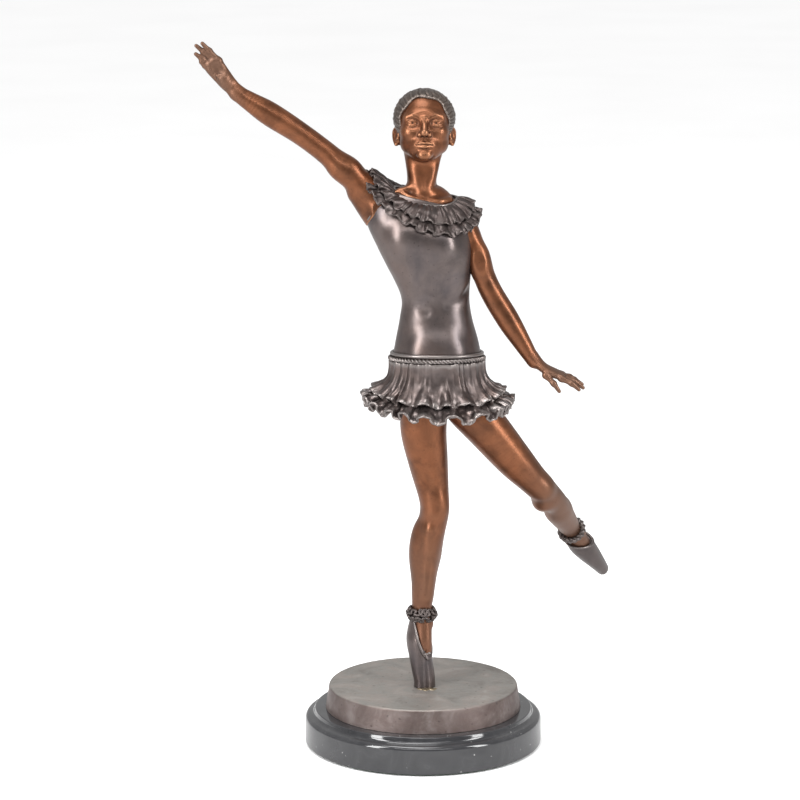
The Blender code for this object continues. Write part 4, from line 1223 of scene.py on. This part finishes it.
def hand(wax, palm, fingers, palm_front):
    """A hand in wax: a flattened palm, fingers in two lengths, and their knuckles."""
    wax.roll(on_figure(palm), palm_front, 0.003)
    for joints in fingers:
        stations = [(*joint, radius, radius * 0.92)
                    for joint, radius in zip(joints, finger_radii)]
        wax.roll(on_figure(stations), palm_front, 0.0016)
        wax.ball(figure(*joints[1]), (knuckle_radii[1],) * 3, 0.0018)
        wax.ball(figure(*joints[0]), (knuckle_radii[0],) * 3, 0.0026)


raised_arm_form = [
    (-0.033, 0.001, 0.4385, 0.0130, 0.0145),
    (-0.049, 0.000, 0.4540, 0.0133, 0.0140),
    (-0.080, -0.001, 0.4835, 0.0104, 0.0108),
    (-0.1070, -0.003, 0.5050, 0.0100, 0.0098),
    (-0.1350, -0.006, 0.5237, 0.0108, 0.0098),
    (-0.1520, -0.008, 0.5348, 0.0088, 0.0078),
    (-0.1655, -0.009, 0.5438, 0.0068, 0.0055),
]
raised_palm_form = [
    (-0.1640, -0.009, 0.5430, 0.0064, 0.0050),
    (-0.1740, -0.010, 0.5540, 0.0074, 0.0045),
    (-0.1830, -0.011, 0.5655, 0.0086, 0.0042),
    (-0.1870, -0.012, 0.5705, 0.0082, 0.0036),
]
raised_fingers = [
    [(-0.1805, -0.012, 0.5720), (-0.1885, -0.014, 0.5810), (-0.1945, -0.017, 0.5880)],
    [(-0.1840, -0.012, 0.5720), (-0.1935, -0.013, 0.5800), (-0.2000, -0.015, 0.5858)],
    [(-0.1880, -0.012, 0.5690), (-0.1950, -0.013, 0.5740), (-0.2005, -0.015, 0.5785)],
    [(-0.1870, -0.012, 0.5645), (-0.1925, -0.012, 0.5682), (-0.1962, -0.014, 0.5710)],
    [(-0.1770, -0.013, 0.5570), (-0.1825, -0.017, 0.5612), (-0.1872, -0.020, 0.5650)],
]
arm_wax = Wax(figure(-0.206, -0.030, 0.408), figure(-0.016, 0.026, 0.5925), arm_step)
arm_wax.roll(on_figure(raised_arm_form), (0, -1, 0), 0.0)
arm_wax.work(armhole - 0.034, armhole + 0.034, lambda x, y, z: np.maximum(
    torso_tool(x, y, z) - 0.0001, hole_tool(x, y, z) - 0.0016), 0.010)   # chest and armpit
arm_wax.roll(on_figure([
    (-0.0470, 0.0030, 0.4290, 0.0040, 0.0060),
    (-0.0510, 0.0020, 0.4360, 0.0062, 0.0080),
    (-0.0600, 0.0010, 0.4510, 0.0068, 0.0080)]), (0, -1, 0), 0.008)     # back into the arm
arm_wax.ball(figure(-0.1130, 0.0030, 0.5075), (0.0060, 0.0060, 0.0070), 0.006)    # elbow
arm_wax.ball(figure(-0.0700, -0.0040, 0.4755), (0.0120, 0.0070, 0.0090), 0.010)   # biceps
hand(arm_wax, raised_palm_form, raised_fingers, (0, -1, 0))
arm_wax.ball(figure(-0.1750, -0.0135, 0.5550), (0.0042, 0.0030, 0.0060), 0.005)   # thumb's heel
arm_wax.ball(figure(-0.1820, -0.0190, 0.5645), (0.0036, 0.0036, 0.0050), 0.005, carve=True)
cast_in_bronze("raised_arm_casting", arm_wax, skin_bronze, "skin_bronze", ["raised_arm"],
               dull=lambda p: towards(-p[:, 0], 0.150, 0.180))

lowered_arm_form = [
    (0.028, 0.003, 0.4370, 0.0105, 0.0120),
    (0.0370, 0.001, 0.4240, 0.0102, 0.0122),
    (0.0460, 0.000, 0.4030, 0.0093, 0.0105),
    (0.0577, -0.002, 0.3697, 0.0100, 0.0098),
    (0.0752, -0.006, 0.3400, 0.0103, 0.0095),
    (0.0883, -0.009, 0.3190, 0.0082, 0.0075),
    (0.0985, -0.011, 0.3025, 0.0060, 0.0064),
]
lowered_palm_form = [
    (0.0980, -0.011, 0.3055, 0.0056, 0.0060),
    (0.1070, -0.013, 0.2975, 0.0046, 0.0085),
    (0.1170, -0.014, 0.2925, 0.0044, 0.0100),
    (0.1230, -0.015, 0.2905, 0.0040, 0.0095),
]
lowered_fingers = [
    [(0.1230, -0.023, 0.2895), (0.1320, -0.026, 0.2855), (0.1385, -0.027, 0.2800)],
    [(0.1240, -0.018, 0.2900), (0.1350, -0.020, 0.2860), (0.1425, -0.021, 0.2805)],
    [(0.1235, -0.012, 0.2900), (0.1345, -0.013, 0.2865), (0.1420, -0.013, 0.2820)],
    [(0.1220, -0.007, 0.2900), (0.1310, -0.006, 0.2875), (0.1370, -0.005, 0.2845)],
    [(0.1090, -0.021, 0.2920), (0.1160, -0.024, 0.2850), (0.1210, -0.025, 0.2780)],
]
arm_wax = Wax(figure(0.012, -0.032, 0.274), figure(0.148, 0.022, 0.454), arm_step)
arm_wax.roll(on_figure(lowered_arm_form), (0, -1, 0), 0.0)
arm_wax.ball(figure(0.0640, 0.0050, 0.3600), (0.0050, 0.0050, 0.0070), 0.006)     # elbow
arm_wax.ball(figure(0.0500, -0.0050, 0.3920), (0.0080, 0.0070, 0.0140), 0.008)    # biceps
hand(arm_wax, lowered_palm_form, lowered_fingers, (0, -1, 0))
cast_in_bronze("lowered_arm_casting", arm_wax, skin_bronze, "skin_bronze", ["lowered_arm"],
               dull=lambda p: towards(p[:, 0], 0.088, 0.118))


# Head. The head and neck are one casting with the skin above the neckline. The face is a calm,
# regular one, laid out by the usual thirds of a head and the usual eye and mouth widths.

mm = 0.001
head_turn = Matrix.Rotation(math.radians(-14), 3, "X")      # chin up
head_breadth = 1.08                   # the wax below was laid out a little narrow
head_place = (Matrix.Translation(figure(0.0003, 0.002, 0.5125)) @ head_turn.to_4x4()
              @ Matrix.Diagonal((head_breadth, 1.0, 1.0, 1.0)))
into_head = head_place.inverted()
head_wax = Wax((-0.031, -0.0365, -0.080), (0.031, 0.036, 0.0345), 0.00043)


def pellet(x, y, z, radii, blend, carve=False, both=False):
    """A pellet on the head, in millimetres from its middle; both sides of the face if asked."""
    size = np.array(radii, float) * mm
    for side in ((1, -1) if both else (1,)):
        head_wax.ball((x * side * mm, y * mm, z * mm), size, blend * mm, carve=carve)


def ridge(points, blend, carve=False, both=False):
    """A thin roll on the head through (x, y, z, radius) in millimetres."""
    for side in ((1, -1) if both else (1,)):
        head_wax.roll([(x * side * mm, y * mm, z * mm, r * mm, r * mm) for x, y, z, r in points],
                      (0.0, -1.0, 0.1), blend * mm, steps=5, carve=carve)


pellet(0, 3, 7.5, (23.6, 28.5, 24.6), 0)                       # skull
pellet(0, -8.5, -8, (19.6, 18.0, 22.5), 6)                     # face
pellet(0, -14, -21.5, (12.6, 12.0, 10.2), 6)                   # jaw
pellet(13.5, -6.0, -17.0, (5.5, 9.0, 7.0), 5, both=True)       # corner of the jaw
pellet(11.0, -16.5, -7.0, (7.6, 7.4, 6.4), 5, both=True)       # cheekbone
ridge([(-13, -20.0, 5.5, 3.0), (0, -24.0, 5.0, 2.8), (13, -20.0, 5.5, 3.0)], 6)       # brow
pellet(9.6, -27.2, 0.0, (6.0, 4.6, 4.2), 4, carve=True, both=True)                    # socket
eye_middle = (9.6, -19.4, 0.0)
pellet(*eye_middle, (5.2, 5.2, 5.2), 0.2, both=True)           # eyeball
for side in (1, -1):
    middle = np.array(eye_middle) * mm * (side, 1, 1)

    def lids(x, y, z):
        """Two lids over the ball of the eye, open in the shape of an almond."""
        far = np.sqrt((x - middle[0]) ** 2 + (y - middle[1]) ** 2 + (z - middle[2]) ** 2)
        across = (x - middle[0]) * side / (5.3 * mm)
        open_by = 1.95 * mm * (1 - across ** 2)
        level = z - middle[2] - 0.35 * mm * across
        return np.maximum(far - 5.8 * mm, open_by - np.abs(level))

    head_wax.work(middle - 6.6 * mm, middle + 6.6 * mm, lids, 1.1 * mm)
    head_wax.ball(middle + np.array((0, -5.35, 0.1)) * mm, (1.15 * mm,) * 3, 0.2 * mm,
                  carve=True)
ridge([(4.2, -24.0, 5.2, 0.7), (9.5, -24.2, 7.3, 0.8), (15.0, -20.2, 5.6, 0.5)], 2.2,
      both=True)                                               # eyebrow
ridge([(0, -23.2, 4.5, 2.3), (0, -26.6, -2.5, 2.3), (0, -29.4, -8.6, 3.0)], 2.6)      # nose
pellet(0, -29.6, -9.4, (3.2, 3.1, 2.8), 1.4)
pellet(3.7, -26.8, -10.6, (2.3, 2.9, 2.1), 1.2, both=True)
pellet(1.9, -28.4, -12.5, (1.0, 1.7, 1.0), 0.4, carve=True, both=True)
pellet(0, -20.0, -18.5, (9.0, 7.4, 6.6), 4)                    # mouth's round
ridge([(0, -27.9, -13.6, 0.7), (0, -28.3, -16.6, 0.8)], 1.0, carve=True)
ridge([(6.8, -24.9, -19.5, 0.7), (3.2, -27.2, -18.1, 1.2), (0, -27.6, -18.6, 1.2)], 0.8,
      both=True)                                               # upper lip
ridge([(-6.2, -25.0, -20.2, 0.8), (0, -27.4, -21.3, 1.7), (6.2, -25.0, -20.2, 0.8)], 0.9)
ridge([(-7.2, -25.6, -19.5, 0.4), (-2.5, -28.3, -19.4, 0.5), (2.5, -28.3, -19.4, 0.5),
       (7.2, -25.6, -19.5, 0.4)], 0.5, carve=True)             # where the lips meet
ridge([(-4.0, -27.4, -24.2, 0.9), (4.0, -27.4, -24.2, 0.9)], 2.0, carve=True)
pellet(0, -23.4, -28.0, (6.0, 4.6, 4.6), 3)                    # chin
ear_turn = Matrix.Rotation(math.radians(14), 3, "X")
for side in (1, -1):
    flare = Matrix.Rotation(math.radians(-26) * side, 3, "Z") @ ear_turn

    def on_ear(out, back, up):
        """A point of the ear, from its middle, in millimetres."""
        return np.array((22.6 * side, 5.5, -8.6)) * mm + np.array(
            flare @ Vector((out * side, back, up))) * mm

    head_wax.ball(on_ear(-2.4, -1.0, 0.0), (3.4 * mm, 4.0 * mm, 6.6 * mm), 3.0 * mm, flare)
    head_wax.ball(on_ear(0.0, 0.0, 0.5), (1.9 * mm, 5.2 * mm, 7.6 * mm), 1.4 * mm, flare)
    head_wax.ball(on_ear(2.2, -0.4, 1.2), (1.8 * mm, 3.2 * mm, 4.8 * mm), 0.7 * mm, flare,
                  carve=True)
    head_wax.roll([(*on_ear(a, b, c), r * mm, r * mm)
                   for a, b, c, r in ((0.4, -4.4, 1.0, 0.8), (0.8, -3.2, 5.8, 1.0),
                                      (1.0, 1.4, 7.6, 1.0), (1.2, 4.6, 4.0, 1.0),
                                      (0.8, 3.6, -2.6, 1.0), (0.2, -0.8, -6.8, 1.5))],
                  (side, 0, 0), 0.8 * mm)
    head_wax.ball(on_ear(1.0, -4.2, -1.2), (1.1 * mm,) * 3, 0.8 * mm)
neck_front = (0.0, -1.0, 0.25)
neck_form = [
    (0.0020, 0.004, 0.4330, 0.0300, 0.0215),
    (0.0014, 0.004, 0.4405, 0.0258, 0.0200),
    (-0.0002, 0.004, 0.4470, 0.0170, 0.0158),
    (-0.0015, 0.005, 0.4570, 0.0136, 0.0135),
    (-0.0020, 0.005, 0.4680, 0.0128, 0.0130),
    (-0.0020, 0.004, 0.4820, 0.0126, 0.0132),
    (-0.0010, 0.006, 0.4960, 0.0150, 0.0160),
]


def in_head(stations):
    """Stations of the dancer, taken into the tilted head's own place."""
    return [(*(into_head @ figure(x, y, z)), wide / head_breadth, deep)
            for x, y, z, wide, deep in stations]


head_wax.roll(in_head(neck_form), neck_front, 5 * mm)
head_wax.roll(in_head([
    (-0.0240, 0.0030, 0.4500, 0.0045, 0.0120),
    (-0.0110, 0.0040, 0.4545, 0.0055, 0.0130)]), neck_front, 5 * mm)         # raised shoulder
for side in (1, -1):
    head_wax.roll(in_head([
        (side * 0.0138, 0.0090, 0.4960, 0.0024, 0.0024),
        (side * 0.0084, -0.0022, 0.4750, 0.0022, 0.0022),
        (side * 0.0030, -0.0078, 0.4570, 0.0016, 0.0016)]), neck_front, 11 * mm)     # sinew
    head_wax.roll(in_head([
        (side * 0.0040 + 0.001, -0.0140, 0.4475 - side * 0.0006, 0.0016, 0.0016),
        (side * 0.0140 + 0.001, -0.0125, 0.4495 - side * 0.0020, 0.0018, 0.0018),
        (side * 0.0220 + 0.001, -0.0060, 0.4515 - side * 0.0035, 0.0016, 0.0016)]),
        neck_front, 5 * mm)                                    # collar bone
cast_in_bronze("head_casting", head_wax, skin_bronze, "skin_bronze", ["head"], head_place,
               height=0.0004)


# Hair. Combed back flat from a wavy hairline into a coiled bun. The strands were drawn in the
# wax with a comb tool, and the patina is a dark brown-grey.

hair_bronze = patinated("dark hair patina", base=(0.120, 0.092, 0.076),
                        light=(0.190, 0.158, 0.140), dark=(0.020, 0.013, 0.010),
                        dulled=(0.060, 0.042, 0.034), rough=0.42)
hair_wax = Wax((-0.031, -0.031, -0.022), (0.031, 0.038, 0.0365), 0.00048)
bun_middle = np.array((4.0, 33.0, 10.0)) * mm
comb_start = np.array((0.0, -34.0, -12.0)) * mm
comb_way = unit(bun_middle - comb_start)
comb_side = unit(np.cross(comb_way, (1.0, 0.0, 0.0)))
comb_up = np.cross(comb_way, comb_side)
comb_depth = 0.42 * mm


def combed(x, y, z):
    """A skull-tight cap of hair, with the comb's grooves running back to the bun."""
    offset = (x - comb_start[0], y - comb_start[1], z - comb_start[2])
    across = sum(comb_side[k] * offset[k] for k in range(3))
    upward = sum(comb_up[k] * offset[k] for k in range(3))
    back = sum(comb_way[k] * offset[k] for k in range(3))
    angle = np.arctan2(across, upward)
    wave = 0.05 * np.sin(back * 260 + 3 * angle) + 0.03 * np.sin(back * 520 + 7 * angle)
    strand = (0.55 * np.sin(46 * (angle + wave)) + 0.35 * np.sin(79 * (angle + 0.6 * wave) + 1.3)
              + 0.25 * np.sin(23 * (angle + wave) + 0.4))
    cap = egg((x, y - 3 * mm, z - 7.5 * mm), np.array((25.6, 30.6, 26.6)) * mm)
    return cap - comb_depth * strand


hair_wax.work(*hair_wax.everywhere(), combed, 0.0)
hair_wax.ball((0, 3 * mm, 7.5 * mm), np.array((22.6, 27.5, 23.6)) * mm, 0.0002, carve=True)


def hairline(x, y, z):
    """The bare face and brow, with soft waves along its edge."""
    centre = np.array((0.0, -34.0, -12.0)) * mm
    radii = np.array((27.0, 33.0, 39.5)) * mm
    local = [axis - centre[k] for k, axis in enumerate((x, y, z))]
    wave = np.sin(np.arctan2(local[0], local[2]) * 11 + 0.6) * 0.8 * mm
    return (egg_share(local, radii) - 1) * radii.min() + wave


hair_wax.work(*hair_wax.everywhere(), hairline, 1.6 * mm, carve=True)
hair_wax.ball((0, 4 * mm, -40 * mm), np.array((36.0, 44.0, 31.0)) * mm, 1.6 * mm, carve=True)
for side in (1, -1):
    hair_wax.ball(np.array((25.5 * side, 3.4, -8.1)) * mm, np.array((5.0, 6.4, 9.6)) * mm,
                  1.2 * mm, carve=True)
cast_in_bronze("combed_hair", hair_wax, hair_bronze, "hair_bronze", ["hair"], head_place,
               height=0.0004)

bun_wax = Wax(bun_middle - np.array((19, 12, 17)) * mm, bun_middle + np.array((19, 14, 17)) * mm,
              0.00045)
coil = []
for step in range(31):
    turn = 2 * math.pi * step / 12
    out = (10.8 - 3.1 * step / 12) * mm
    coil.append((bun_middle[0] + out * 1.08 * math.cos(turn), bun_middle[1] - 2.2 * mm
                 + 2.6 * mm * step / 12, bun_middle[2] + out * 0.92 * math.sin(turn),
                 5.0 * mm - 0.5 * mm * step / 12, 5.0 * mm - 0.5 * mm * step / 12))
bun_wax.ball(bun_middle - (0, 3 * mm, 0), np.array((12.5, 7.0, 11.0)) * mm, 0.001)
bun_wax.roll(coil, (0.0, 1.0, 0.0), 0.0006, steps=2)
_, x, y, z = bun_wax.window(*bun_wax.everywhere())
bun_angle = np.arctan2(z - bun_middle[2], x - bun_middle[0])
bun_out = np.sqrt((x - bun_middle[0]) ** 2 + (z - bun_middle[2]) ** 2)
bun_wax.wax -= (0.30 * mm * np.sin(bun_out / mm * 4.2 + bun_angle * 1.0
                                   + (y - bun_middle[1]) / mm * 2.1)).astype(np.float32)
bun_wax.work(bun_middle - 0.04, bun_middle + 0.04,
             lambda x, y, z: combed(x, y, z) - 0.1 * mm, 0.0004, carve=True)
cast_in_bronze("coiled_bun", bun_wax, hair_bronze, "hair_bronze", ["hair_bun"], head_place,
               height=0.0004)


# Setting for the picture. A wide white tabletop under an even white sky, two tall soft boxes
# and a dark room behind the camera, as a dealer's photographer sets up for polished bronze.

def light_panel(name, place, aim, width, height, power):
    """A soft box turned towards its aim."""
    lamp = bpy.data.lights.new(name, "AREA")
    lamp.shape = "RECTANGLE"
    lamp.size, lamp.size_y = width, height
    lamp.energy = power
    panel = bpy.data.objects.new(name, lamp)
    panel.location = place
    panel.rotation_euler = (Vector(aim) - Vector(place)).to_track_quat("-Z", "Y").to_euler()
    bpy.context.collection.objects.link(panel)


def tabletop_finish():
    """Matt white laminate, which the polished bronze mirrors darker than it is."""
    finish, tree, shader = new_finish("white tabletop")
    grain = clouds(tree, place_on_piece(tree), 3.0, 3.0)
    set_sockets(tree, shader, {
        "Base Color": colour_steps(tree, grain, [
            (0.3, (0.93, 0.93, 0.93)),
            (0.7, (0.95, 0.95, 0.95))]),
        "Roughness": spread(tree, grain, 0.75, 0.85),
        "Specular IOR Level": 0.1})
    mirrored = add_node(tree, "LightPath").outputs["Is Glossy Ray"]
    deep = add_node(tree, "BsdfDiffuse", {"Color": (0.60, 0.60, 0.60, 1.0)})
    either = add_node(tree, "MixShader", {0: mirrored, 1: shader.outputs[0],
                                          2: deep.outputs[0]})
    set_sockets(tree, tree.nodes["Material Output"], {"Surface": either.outputs[0]})
    return finish


tabletop_radius = 30.0
table_points, table_faces = turned([(tabletop_radius, 0.0), (0.0, 0.0)], 64)
tabletop = new_object("tabletop", table_points, [face[::-1] for face in table_faces])
tabletop.data.materials.append(tabletop_finish())

white = (1.0, 1.0, 1.0, 1.0)
sky = bpy.data.worlds.new("studio")
sky.use_nodes = True
sky_tree = sky.node_tree
sky_tree.nodes.clear()
look_way = add_node(sky_tree, "SeparateXYZ",
                    {0: add_node(sky_tree, "TexCoord").outputs["Generated"]})
room = spread(sky_tree, look_way.outputs["Y"], 0.06, 0.50, -0.9, 0.5)
mirrored = add_node(sky_tree, "LightPath").outputs["Is Glossy Ray"]
even = add_node(sky_tree, "Background", {"Color": white, "Strength": 1.03})
dim = add_node(sky_tree, "Background", {"Color": white, "Strength": room})
either = add_node(sky_tree, "MixShader", {0: mirrored, 1: even.outputs[0],
                                          2: dim.outputs[0]})
add_node(sky_tree, "OutputWorld", {"Surface": either.outputs[0]})
bpy.context.scene.world = sky

middle_of_figure = (0.0, 0.0, 0.36)
light_panel("left_soft_box", (-1.30, -1.15, 1.00), middle_of_figure, 0.42, 1.5, 30.0)
light_panel("right_soft_box", (1.45, -0.95, 0.95), middle_of_figure, 0.40, 1.4, 24.0)
light_panel("overhead_soft_box", (-0.25, -0.35, 2.10), middle_of_figure, 1.1, 0.9, 22.0)
light_panel("front_strip_light", (0.0, -1.90, 1.75), (0.0, 0.0, 0.05), 2.2, 0.20, 15.0)

camera_place = (-0.0212, -3.0, 0.955)
camera_looks_down = 11.95             # degrees
camera_data = bpy.data.cameras.new("camera")
camera_data.lens = 153.2
camera_data.sensor_width = 36.0
camera_data.clip_end = 100.0
camera = bpy.data.objects.new("camera", camera_data)
camera.location = camera_place
camera.rotation_euler = (math.radians(90 - camera_looks_down), 0.0, 0.0)
bpy.context.collection.objects.link(camera)
bpy.context.scene.camera = camera
bpy.context.scene.view_settings.view_transform = "Standard"
bpy.context.scene.view_settings.look = "None"
